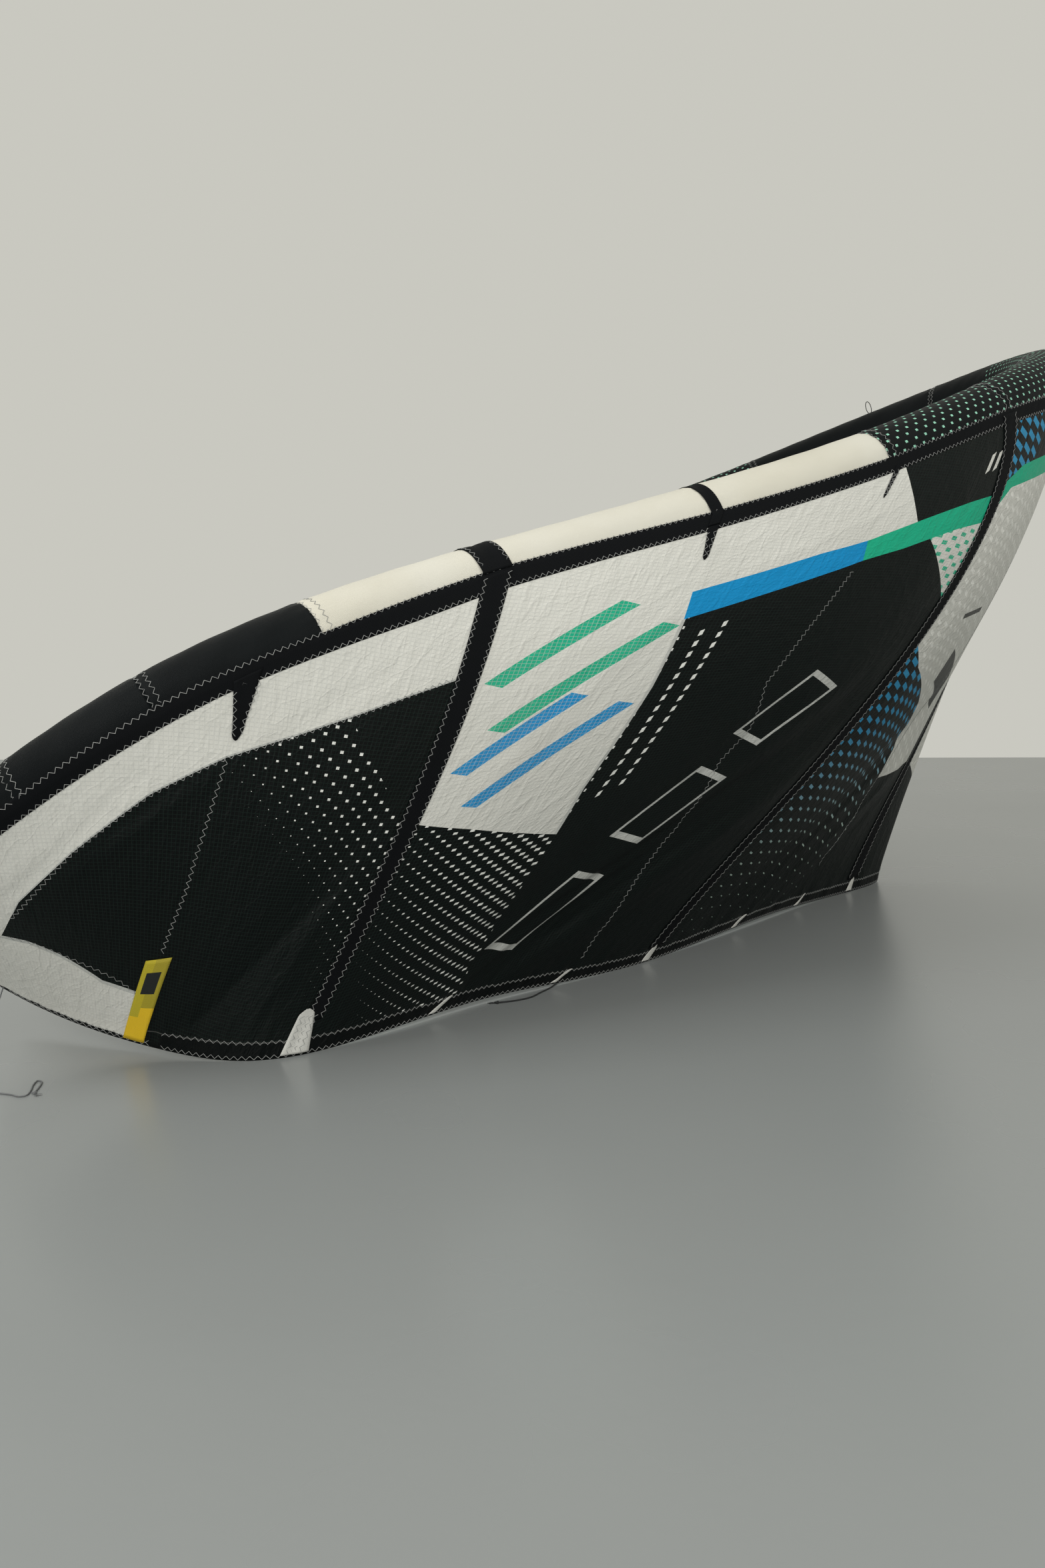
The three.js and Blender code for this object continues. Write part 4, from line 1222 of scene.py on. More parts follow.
@dataclass
class LeadTube:
    """The inflated leading edge: sewn segments and the strip that closes the sail to them."""

    finishes: Finishes
    sides: int = 56
    step: float = 0.022
    pucker: float = 0.0022
    tip_length: float = 0.012

    @staticmethod
    def radius(along: np.ndarray) -> np.ndarray:
        """Radius of the tube's cloth, drawn in a little at each sewn joint."""
        near = np.min([np.abs(np.abs(along) - joint) for joint in (*JOINTS, TIP_JOINT)], axis=0)
        return FORM.radius(along) - TUBE_UNDER - LeadTube.pucker * np.exp(-((near / 0.008) ** 2))

    def rings(self, along: np.ndarray, turns: np.ndarray, rise: float = 0.0) -> np.ndarray:
        """Points round the tube.

        Args:
            along: Places of the rings.
            turns: Angles round each ring, from the closing seam up over the top.
            rise: Height over the cloth.

        Returns:
            The points in rings.
        """
        a, t = (each.ravel() for each in np.meshgrid(along, turns, indexing="ij"))
        near = np.min([np.abs(np.abs(a) - joint) for joint in (*JOINTS, TIP_JOINT)], axis=0)
        gather = 0.0009 * np.sin(t * 17 + a * 40) * np.exp(-((near / 0.03) ** 2))
        slack = 0.0008 * np.sin(t * 5 + a * 23) * np.sin(a * 31 + t * 2)
        return FORM.ring(a, t, self.radius(a) + gather + slack + rise).reshape(len(along), len(turns), 3)

    def segment(self, name: str, node: str, start: float, end: float, finish: bpy.types.Material, slot: Slot) -> None:
        """One sewn length of the tube.

        Args:
            name: The piece's name.
            node: The CAD node that it replaces.
            start: Where it begins along the leading edge.
            end: Where it ends.
            finish: Its material.
            slot: The record's slot.
        """
        along = lanes(start, end, self.step)
        near = np.min(np.abs(np.abs(along)[:, None] - np.array(JOINTS)), axis=1) < self.step
        fine = np.concatenate([along[near] + shift for shift in (-0.012, -0.006, 0.006, 0.012)])
        along = np.unique(np.clip(np.concatenate([along, fine]), min(start, end), max(start, end)))
        turns = np.linspace(0, 2 * math.pi, self.sides, endpoint=False)
        rings = self.rings(along, turns)
        around = (np.linspace(0, 2 * math.pi, self.sides + 1) % (2 * math.pi)) * 0.095
        around[-1] = 2 * math.pi * 0.095
        spots = np.stack(np.meshgrid(along, around, indexing="ij"), -1)
        tips = [np.argmax(np.abs(along))] if max(abs(start), abs(end)) >= HALF_SPAN - 0.01 else []
        for tip in tips:
            rings, spots = self._close(rings, spots, tip)
        dress(Meshes.tube(name, rings, spots), finish, slot, node)

    def _close(self, rings: np.ndarray, spots: np.ndarray, tip: int) -> tuple[np.ndarray, np.ndarray]:
        """Rounds off the tube's end at a tip."""
        middle = rings[tip].mean(axis=0)
        inside = rings[tip - 1] if tip else rings[1]
        way = unit(middle - inside.mean(axis=0))
        caps = [
            middle + (rings[tip] - middle) * math.cos(turn) + way * self.tip_length * math.sin(turn)
            for turn in (0.5, 0.9, 1.2, 1.4)
        ]
        extra = np.repeat(spots[tip][None], len(caps), axis=0)
        if tip:
            return np.concatenate([rings, caps]), np.concatenate([spots, extra])
        return np.concatenate([caps[::-1], rings]), np.concatenate([extra, spots])

    def strip_row(self, along: np.ndarray, part: float, rise: float) -> np.ndarray:
        """One lengthwise row of the closing strip.

        Args:
            along: Places along it.
            part: Below 0 round the tube, from 0 to 1 down the sail.
            rise: Height over the sail's face.

        Returns:
            The points.
        """
        if part >= 0:
            return FORM.off(along, part * FORM.band(along), rise)
        turn = -part * (table(STRIP_WRAP, along) + 0.03)
        blend = 1 + part
        cloth = self.radius(along) + 0.0004
        full = FORM.radius(along)
        return FORM.ring(along, turn, cloth + (full - cloth) * blend**2 + rise)

    def build(self) -> None:
        """Makes every segment and the closing strip."""
        stops = (*JOINTS, HALF_SPAN)
        self.segment("tube_0", "lead_0", -JOINTS[0], JOINTS[0], self.finishes.dotted, Slot.TUBE_BLACK)
        for side in Side:
            for i, (start, end) in enumerate(zip(stops, stops[1:]), 1):
                pale = 1.75 <= start < 3.12
                dotted = self.finishes.far_dotted if side is Side.FAR and start > 1.2 else self.finishes.dotted
                finish = self.finishes.cream if pale else dotted if start < 1.7 else self.finishes.ink
                slot = Slot.TUBE_WHITE if pale else Slot.TUBE_BLACK
                self.segment(f"tube_{i}_{side.tag}", f"lead_{i}_{side.tag}", side.value * start, side.value * end,
                             finish, slot)
        along = lanes(-HALF_SPAN, HALF_SPAN, 0.02)
        parts = (-1.0, -0.66, -0.33, 0.0, 0.2, 0.4, 0.6, 0.8, 1.0)
        outer = np.stack([self.strip_row(along, part, 0.0010) for part in parts])
        inner = np.stack([self.strip_row(along, part, 0.0002) for part in parts])
        run = np.array(parts) * BAND
        uv = np.stack(np.meshgrid(run, along, indexing="ij"), -1)[..., ::-1]
        dress(Meshes.sheet("closing_band", outer, inner, {"UVMap": uv}), self.finishes.tape, Slot.TRIM, "closing_strip")


STRUTS = ((0, "middle"), (1, "inner_near"), (-1, "inner_far"), (2, "outer_near"), (-2, "outer_far"))


@dataclass
class Struts:
    """Inflated struts under the sail, and the tapes sewn over them."""

    finishes: Finishes
    sides: int = 28
    under: float = 0.0029
    tape_rise: float = 0.0012
    tape_thick: float = 0.0010

    def tube(self, index: int, tag: str) -> None:
        """One strut, flat where it stands on the floor."""
        share = lanes(0.0, 1.0, 0.012)
        foot = FORM.strut(index, np.ones(1))
        along = FORM.strut(index, FORM.row(np.repeat(foot, len(share)), share))
        down = FORM.row(along, share)
        radius = np.interp(down, [row[0] for row in STRUT_RADIUS], [row[1] for row in STRUT_RADIUS])
        path = FORM.smooth_off(along, down, -self.under - radius)
        head = path[0] + unit(path[0] - path[1]) * 0.03
        tail = path[-1] + unit(path[-1] - path[-2])[None] * np.array([[0.008], [0.014]])
        path = np.concatenate([head[None], path, tail])
        size = np.concatenate([radius[:1], radius, radius[-1:] * 0.85, radius[-1:] * 0.4])
        obj = Meshes.sweep(f"strut_{tag}", path, size, self.sides)
        for vertex in obj.data.vertices:
            vertex.co.z = max(vertex.co.z, 0.0004)
        dress(obj, self.finishes.ink, Slot.TUBE_BLACK, f"strut_{tag}")

    def tape(self, index: int, tag: str) -> None:
        """The tape over one strut, from the tube to the tab at its foot."""
        end = 0.925 if abs(index) == 2 else 0.972
        share = lanes(0.004, end, 0.006)
        across = lanes(-TAPE_HALF, TAPE_HALF, 0.008)
        s, x = np.meshgrid(share, across, indexing="ij")
        middle = FORM.strut(index, s.ravel()).reshape(s.shape)
        crown = 0.0006 * (1 - (x / TAPE_HALF) ** 2)
        outer = FORM.off(middle + x, s, self.tape_rise + self.tape_thick + crown)
        inner = FORM.off(middle + x, s, self.tape_rise)
        length = FORM.station(middle.ravel()).length.reshape(s.shape)
        uv = np.stack([x, s * length], -1)
        dress(Meshes.sheet(f"tape_over_{tag}", outer, inner, {"UVMap": uv}), self.finishes.tape, Slot.TRIM,
              "tape_middle" if index == 0 else f"tape_{tag}")

    def build(self) -> None:
        """Makes all struts and tapes."""
        for index, tag in STRUTS:
            self.tube(index, tag)
            self.tape(index, tag)


@dataclass(frozen=True)
class Finger:
    """A patch below the closing strip that narrows to a round end."""

    name: str
    along: float
    root: float
    end: float
    lean: float
    length: float
    over: bool = False

    def centre(self, side: Side, part: np.ndarray) -> np.ndarray:
        """Where its middle line lies along the leading edge."""
        return side.value * (self.along + self.lean * part)

    def half(self, part: np.ndarray, inset: float = 0.0) -> np.ndarray:
        """Half its width, less an inset, down to its round end."""
        width = self.root + (self.end - self.root) * np.minimum(1, part * 1.3) - inset
        return width * np.sqrt(np.clip((1 - part) * 7, 0.02, 1))


@dataclass(frozen=True)
class Tab:
    """A pocket sewn on the hem at a strut's or a batten's end."""

    name: str
    along: float
    half: float
    height: float
    lean: float = 0.0
    sides: tuple[Side, ...] = tuple(Side)
    taper: float = 0.0
    lift: float = 0.0
    yellow: bool = False


FINGERS = (
    Finger("finger_wide", 3.292, 0.034, 0.015, 0.018, 0.098),
    Finger("strap", 2.22, 0.014, 0.008, -0.012, 0.084, True),
    Finger("finger_slim", 1.712, 0.011, 0.006, 0.008, 0.080),
)
TABS = (
    Tab("tab_strut_middle", 0.0, 0.015, 0.052, sides=(Side.NEAR,)),
    Tab("tab_strut_inner", 1.115, 0.016, 0.056),
    Tab("tab_strut_outer", 2.74, 0.066, 0.108, 0.028, taper=0.55, lift=0.0012),
    Tab("tab_batten_a", 2.15, 0.016, 0.040, -0.05),
    Tab("tab_batten_b", 1.56, 0.016, 0.038, -0.05),
    Tab("tab_batten_c", 0.70, 0.012, 0.040, -0.03),
    Tab("tab_batten_d", 0.33, 0.012, 0.040, -0.03),
    Tab("tab_tip", 3.57, 0.048, TIP_TAB_LENGTH, -0.092, yellow=True),
)


@dataclass
class Trims:
    """What is sewn on over tube and sail: wraps, a strap, patches, hem tabs and a small loop."""

    finishes: Finishes
    tube: LeadTube
    rise: float = 0.0013
    thick: float = 0.0009
    wrap_half: float = 0.033
    loop_along: float = -0.76

    def band_over(self, along: np.ndarray, turns: np.ndarray, rise: float) -> np.ndarray:
        """Points of a band that goes round the tube."""
        a, t = (each.ravel() for each in np.meshgrid(along, turns, indexing="xy"))
        return FORM.ring(a, t, self.tube.radius(a) + rise).reshape(len(turns), len(along), 3)

    def wrap(self, side: Side) -> None:
        """The wide wrap over the tube at the outer strut."""
        along = side.value * STRUT_TOP[2] + lanes(-self.wrap_half, self.wrap_half, 0.008)
        turns = lanes(0.03, math.radians(157.5), 0.06)
        outer = self.band_over(along, turns, 0.0045)
        inner = self.band_over(along, turns, 0.0036)
        settle = np.clip((turns - 0.03) / 0.35, 0, 1)[:, None, None]
        low_out = self.band_over(along, turns, 0.0024)
        low_in = self.band_over(along, turns, 0.0014)
        outer, inner = outer + (low_out - outer) * settle, inner + (low_in - inner) * settle
        uv = np.stack(np.meshgrid(along, turns * 0.09, indexing="xy"), -1)
        dress(Meshes.sheet(f"wrap_{side.tag}", outer, inner, {"UVMap": uv}), self.finishes.tape, Slot.TRIM,
              f"wrap_outer_{side.tag}")

    def finger(self, shape: Finger, side: Side) -> None:
        """A patch with a round end; one of them comes over the tube as a strap."""
        part = lanes(0.0, 1.0, 0.04)
        across = np.linspace(-1, 1, 9)
        half = shape.half(part)
        band = float(table(BAND_SHOWN, np.array([shape.along]))[0])
        down_m = band - 0.02 + (shape.length + 0.02) * part
        centre = shape.centre(side, part)
        along = centre[:, None] + across[None] * half[:, None]
        down = np.broadcast_to(down_m[:, None], along.shape) / FORM.station(centre).length[:, None]
        outer = FORM.off(along, down, self.rise + self.thick)
        inner = FORM.off(along, down, self.rise)
        if shape.over:
            place = side.value * shape.along + across * shape.root
            turns = lanes(math.radians(157.5), 0.04, 0.07)
            over_out, over_in = self.band_over(place, turns, 0.0024), self.band_over(place, turns, 0.0014)
            lift = np.clip(1 - turns / 0.3, 0, 1)[:, None, None]
            high_out, high_in = self.band_over(place, turns, 0.0046), self.band_over(place, turns, 0.0036)
            over_out, over_in = over_out + (high_out - over_out) * lift, over_in + (high_in - over_in) * lift
            strip = lanes(0.0, (BAND - 0.014) / float(FORM.station(centre[:1]).length[0]), 0.004)
            s, x = np.meshgrid(strip, place, indexing="ij")
            outer = np.concatenate([over_out, FORM.off(x, s, self.rise + self.thick + 0.0003), outer])
            inner = np.concatenate([over_in, FORM.off(x, s, self.rise + 0.0003), inner])
        run = np.cumsum(np.concatenate([[0], np.linalg.norm(np.diff(outer[:, 4], axis=0), axis=1)]))
        uv = np.stack(np.meshgrid(across * shape.root, run, indexing="xy"), -1)
        dress(Meshes.sheet(f"{shape.name}_patch_{side.tag}", outer, inner, {"UVMap": uv}), self.finishes.tape,
              Slot.TRIM, f"{shape.name}_{side.tag}")

    def tab(self, shape: Tab, side: Side) -> None:
        """A tab on the hem, rounded at its top unless it is long."""
        part = lanes(0.0, 1.0, 0.05)
        across = np.linspace(-1, 1, 9)
        long_one = shape.height > 0.1
        narrow = np.ones_like(part) if shape.yellow else np.clip((1 - part) * 9, 0.05, 1) ** 0.5
        rounded = np.sqrt(np.maximum(1.02 - part**2, 0.01))
        half = shape.half * (narrow * (1 - shape.taper * part) if long_one else rounded)
        centre = side.value * (shape.along + shape.lean * part)
        along = centre[:, None] + across[None] * half[:, None]
        length = FORM.station(centre).length[:, None]
        down = 1 - (0.007 + shape.height * part[:, None]) / length + along * 0
        rise = self.rise + shape.lift
        crown = 0.0008 * (1 - across[None] ** 2)
        outer = FORM.off(along, down, rise + self.thick + crown)
        inner = FORM.off(along, down, rise)
        uv = np.stack(np.meshgrid(across * shape.half / 2, shape.height * part, indexing="xy"), -1)
        node = shape.name if len(shape.sides) == 1 else f"{shape.name}_{side.tag}"
        dress(Meshes.sheet(f"{node}_pocket", outer, inner, {"UVMap": uv}),
              self.finishes.yellow if shape.yellow else self.finishes.tab,
              Slot.TAB_YELLOW if shape.yellow else Slot.TAB_WHITE, node)

    def loop(self) -> None:
        """The small loop that stands on the far half of the tube."""
        along, turn = np.array([self.loop_along]), math.pi / 2
        root = self.band_over(along, np.array([turn]), 0.0)[0, 0]
        inside = self.band_over(along, np.array([turn]), -0.01)[0, 0]
        up = unit(root - inside)
        side = FORM.station(along).tangent[0]
        angle = np.linspace(-math.pi / 2, 1.5 * math.pi, 49)
        height = 0.0126 * 1.9
        ring = root + side * (np.cos(angle) * 0.0095)[:, None] + up * (height + np.sin(angle) * height)[:, None]
        obj = Meshes.sweep("loop_on_tube", ring, 0.0014, 10)
        dress(obj, self.finishes.bridle, Slot.CORD, "loop_far")

    def build(self) -> None:
        """Makes all trims of both halves."""
        for side in Side:
            self.wrap(side)
            for shape in FINGERS:
                self.finger(shape, side)
            for shape in TABS:
                if side in shape.sides:
                    self.tab(shape, side)
        self.loop()


TIP_ROUTE = (
    (1.0056, -3.0648, 0.1335), (1.018, -3.076, 0.1), (1.034, -3.093, 0.06), (1.056, -3.117, 0.022),
    (1.086, -3.139, 0.006), (1.124, -3.150, 0.0022), (1.172, -3.148, 0.0018), (1.224, -3.132, 0.0018),
    (1.270, -3.105, 0.0018), (1.301, -3.069, 0.0018), (1.317, -3.034, 0.0018), (1.331, -3.012, 0.0018),
    (1.345, -2.996, 0.0018), (1.343, -2.984, 0.0018), (1.318, -2.978, 0.0018), (1.284, -2.977, 0.0018),
    (1.262, -2.971, 0.0018), (1.270, -2.963, 0.0018), (1.300, -2.964, 0.0018), (1.332, -2.970, 0.0018),
)
BRIDLE_ROUTE = (
    (0.991, -1.3792, 1.1032), (0.994, -1.387, 1.03), (1.0, -1.405, 0.86), (1.006, -1.433, 0.7),
    (1.006, -1.475, 0.57), (0.990, -1.534, 0.464), (0.928, -1.627, 0.278), (0.896, -1.697, 0.134),
    (0.868, -1.733, 0.056), (0.853, -1.742, 0.026), (0.851, -1.746, 0.01), (0.859, -1.751, 0.004),
    (0.874, -1.759, 0.0029), (0.902, -1.781, 0.0025), (0.932, -1.813, 0.0023), (0.968, -1.851, 0.0023),
    (0.986, -1.899, 0.0023), (0.990, -1.943, 0.0023),
)


@dataclass(frozen=True)
class Cord:
    """A line or bridle leg: its route in the kite's terms, and the way its frayed end points."""

    name: str
    kind: str
    route: tuple[tuple[float, float, float], ...]
    diameter: float
    finish: str
    frayed: tuple[float, float]
    mirrored: bool = False


CORDS = (
    Cord("line_tip", "tip", TIP_ROUTE, 0.003, "line", (0.6, -1.0), mirrored=True),
    Cord("bridle", "bridle", BRIDLE_ROUTE, 0.004, "bridle", (-1.0, 0.2)),
)


def centripetal(points: np.ndarray, count: int) -> np.ndarray:
    """A centripetal Catmull-Rom curve.

    Args:
        points: What the curve goes through.
        count: Points for each span.

    Returns:
        The points of the curve.
    """
    p = np.vstack([2 * points[0] - points[1], points, 2 * points[-1] - points[-2]])
    spans = []
    part = np.linspace(0, 1, count, endpoint=False)[:, None]
    for i in range(1, len(p) - 2):
        before, here, after = (math.sqrt(np.linalg.norm(p[i + k] - p[i + k - 1])) for k in (0, 1, 2))
        start = (p[i] - p[i - 1]) / before - (p[i + 1] - p[i - 1]) / (before + here) + (p[i + 1] - p[i]) / here
        end = (p[i + 1] - p[i]) / here - (p[i + 2] - p[i]) / (here + after) + (p[i + 2] - p[i + 1]) / after
        spans.append(
            (2 * part**3 - 3 * part**2 + 1) * p[i] + (part**3 - 2 * part**2 + part) * start * here
            + (3 * part**2 - 2 * part**3) * p[i + 1] + (part**3 - part**2) * end * here
        )
    return np.concatenate([*spans, points[-1:]])


@dataclass
class Cords:
    """The line from each tip and the bridle leg of each half, with their knots."""

    finishes: Finishes
    per_span: int = 8

    def knot(self, name: str, spot: np.ndarray, size: float, finish: bpy.types.Material,
             frayed: tuple[float, float] | None) -> bpy.types.Object:
        """An overhand knot, with or without a frayed end.

        Args:
            name: The piece's name.
            spot: Its middle on the floor.
            size: Radius of the cord.
            finish: Its material.
            frayed: Direction of a frayed end across the floor.

        Returns:
            The knot.
        """
        t = np.linspace(0, 2 * math.pi, 73)
        shape = np.stack([np.sin(t) + 2 * np.sin(2 * t), np.cos(t) - 2 * np.cos(2 * t), -np.sin(3 * t) * 0.8], -1)
        path = spot + shape * size * 0.95 + (0, 0, size * 1.05)
        path[:, 2] = np.maximum(path[:, 2], size * 1.02)
        pieces = [Meshes.sweep(f"{name}_turns", path, size, 10)]
        if frayed:
            way = unit(np.array([*frayed, 0.0]))
            across = np.array([-way[1], way[0], 0.0])
            run = np.linspace(0, 1, 9)[:, None]
            for k in range(7):
                lean = (k - 3) / 3
                strand = spot + way * run * (0.018 + 0.003 * (k % 3)) + across * lean * run**2 * 0.008
                strand = strand + np.array([0, 0, 1.0]) * (0.0008 + 0.0016 * np.sin(run * 2.4 + k))
                strand[:, 2] = np.maximum(strand[:, 2], 0.0006)
                pieces.append(Meshes.sweep(f"{name}_strand_{k}", strand, 0.00045, 5))
        obj = Meshes.join(pieces, name)
        obj.data.shade_smooth()
        return dress(obj, finish, Slot.CORD)

    def cord(self, shape: Cord, side: Side) -> None:
        """One cord with its knot at the end of its route."""
        finish = getattr(self.finishes, shape.finish)
        route = np.array([FORM.place(side.value * row[0], row[1], row[2]) for row in shape.route])
        path = centripetal(route, self.per_span)
        radius = shape.diameter / 2
        obj = dress(Meshes.sweep(f"{shape.name}_{side.tag}", path, radius, 10), finish, Slot.CORD,
                    f"cord_{shape.kind}_{side.tag}")
        frayed = (shape.frayed[0], shape.frayed[1] * (side.value if shape.mirrored else 1))
        knot = self.knot(f"knot_{shape.kind}_{side.tag}", route[-1] * (1, 1, 0), radius, finish, frayed)

    def build(self) -> None:
        """Makes the cords of both halves."""
        for side in Side:
            for shape in CORDS:
                self.cord(shape, side)


class StitchTree:
    """Geometry Nodes that lay one leg of thread on each point of a seam."""

    def __init__(self) -> None:
        """Builds the tree with its named inputs."""
        tree = bpy.data.node_groups.new("zigzag_thread", "GeometryNodeTree")
        self.tree = tree
        kinds = {"Seam": "NodeSocketGeometry", "Leg length": "NodeSocketFloat", "Thread radius": "NodeSocketFloat",
                 "Swing": "NodeSocketFloat", "Finish": "NodeSocketMaterial"}
        self.keys = {
            name: tree.interface.new_socket(name=name, in_out="INPUT", socket_type=kind).identifier
            for name, kind in kinds.items()
        }
        tree.interface.new_socket(name="Threads", in_out="OUTPUT", socket_type="NodeSocketGeometry")
        source = self.node("NodeGroupInput").outputs
        way = self.node("GeometryNodeInputNamedAttribute", {"data_type": "FLOAT_VECTOR"}, {"Name": "way"})
        lift = self.node("GeometryNodeInputNamedAttribute", {"data_type": "FLOAT_VECTOR"}, {"Name": "lift"})
        facing = self.node("FunctionNodeAxesToRotation", {"primary_axis": "X", "secondary_axis": "Z"},
                           {0: way.outputs[0], 1: lift.outputs[0]})
        number = self.node("GeometryNodeInputIndex")
        odd = self.node("ShaderNodeMath", {"operation": "MODULO"}, {0: number.outputs[0], 1: 2.0})
        sign = self.node("ShaderNodeMath", {"operation": "MULTIPLY_ADD"}, {0: odd.outputs[0], 1: -2.0, 2: 1.0})
        angle = self.node("ShaderNodeMath", {"operation": "MULTIPLY"}, {0: sign.outputs[0], 1: source["Swing"]})
        euler = self.node("ShaderNodeCombineXYZ", {}, {2: angle.outputs[0]})
        turn = self.node("FunctionNodeEulerToRotation", {}, {0: euler.outputs[0]})
        turned = self.node("FunctionNodeRotateRotation", {"rotation_space": "LOCAL"},
                           {0: facing.outputs[0], 1: turn.outputs[0]})
        half = self.node("ShaderNodeMath", {"operation": "MULTIPLY"}, {0: source["Leg length"], 1: 0.5})
        back = self.node("ShaderNodeMath", {"operation": "MULTIPLY"}, {0: source["Leg length"], 1: -0.5})
        start = self.node("ShaderNodeCombineXYZ", {}, {0: back.outputs[0]})
        end = self.node("ShaderNodeCombineXYZ", {}, {0: half.outputs[0]})
        leg = self.node("GeometryNodeCurvePrimitiveLine", {}, {"Start": start.outputs[0], "End": end.outputs[0]})
        ring = self.node("GeometryNodeCurvePrimitiveCircle", {}, {"Resolution": 4, "Radius": source["Thread radius"]})
        thread = self.node("GeometryNodeCurveToMesh", {},
                           {0: leg.outputs[0], 1: ring.outputs[0], "Fill Caps": True})
        laid = self.node("GeometryNodeInstanceOnPoints", {},
                         {"Points": source["Seam"], "Instance": thread.outputs[0], "Rotation": turned.outputs[0]})
        real = self.node("GeometryNodeRealizeInstances", {}, {0: laid.outputs[0]})
        dressed = self.node("GeometryNodeSetMaterial", {}, {"Geometry": real.outputs[0], "Material": source["Finish"]})
        self.node("NodeGroupOutput", {}, {0: dressed.outputs[0]})

    def node(self, kind: str, settings: dict | None = None, inputs: dict | None = None) -> bpy.types.Node:
        """Adds a node with its settings and the values or links of its sockets."""
        made = self.tree.nodes.new(kind)
        for key, value in (settings or {}).items():
            setattr(made, key, value)
        return plug(self.tree, made, inputs)

    def run(self, name: str, points: np.ndarray, ways: np.ndarray, lifts: np.ndarray, sizes: tuple[float, ...],
            finish: bpy.types.Material) -> bpy.types.Object:
        """Lays thread along a seam and keeps it as a plain mesh.

        Args:
            name: The piece's name.
            points: Middles of the thread's legs.
            ways: The seam's direction at each.
            lifts: The cloth's outward direction at each.
            sizes: Leg length, thread radius and swing.
            finish: The thread's material.

        Returns:
            The stitches.
        """
        mesh = bpy.data.meshes.new(f"{name}_points")
        mesh.from_pydata(points.tolist(), [], [])
        for key, values in (("way", ways), ("lift", lifts)):
            layer = mesh.attributes.new(key, "FLOAT_VECTOR", "POINT")
            layer.data.foreach_set("vector", np.ascontiguousarray(values, np.float32).ravel())
        seam = bpy.data.objects.new(f"{name}_points", mesh)
        bpy.context.scene.collection.objects.link(seam)
        made = seam.modifiers.new("thread", "NODES")
        made.node_group = self.tree
        for key, value in zip(("Leg length", "Thread radius", "Swing", "Finish"), (*sizes, finish)):
            made[self.keys[key]] = value
        bpy.context.view_layer.update()
        graph = bpy.context.evaluated_depsgraph_get()
        result = bpy.data.meshes.new_from_object(seam.evaluated_get(graph), depsgraph=graph)
        seam.modifiers.remove(made)
        bpy.data.objects.remove(seam)
        obj = bpy.data.objects.new(name, result)
        bpy.context.scene.collection.objects.link(obj)
        return obj


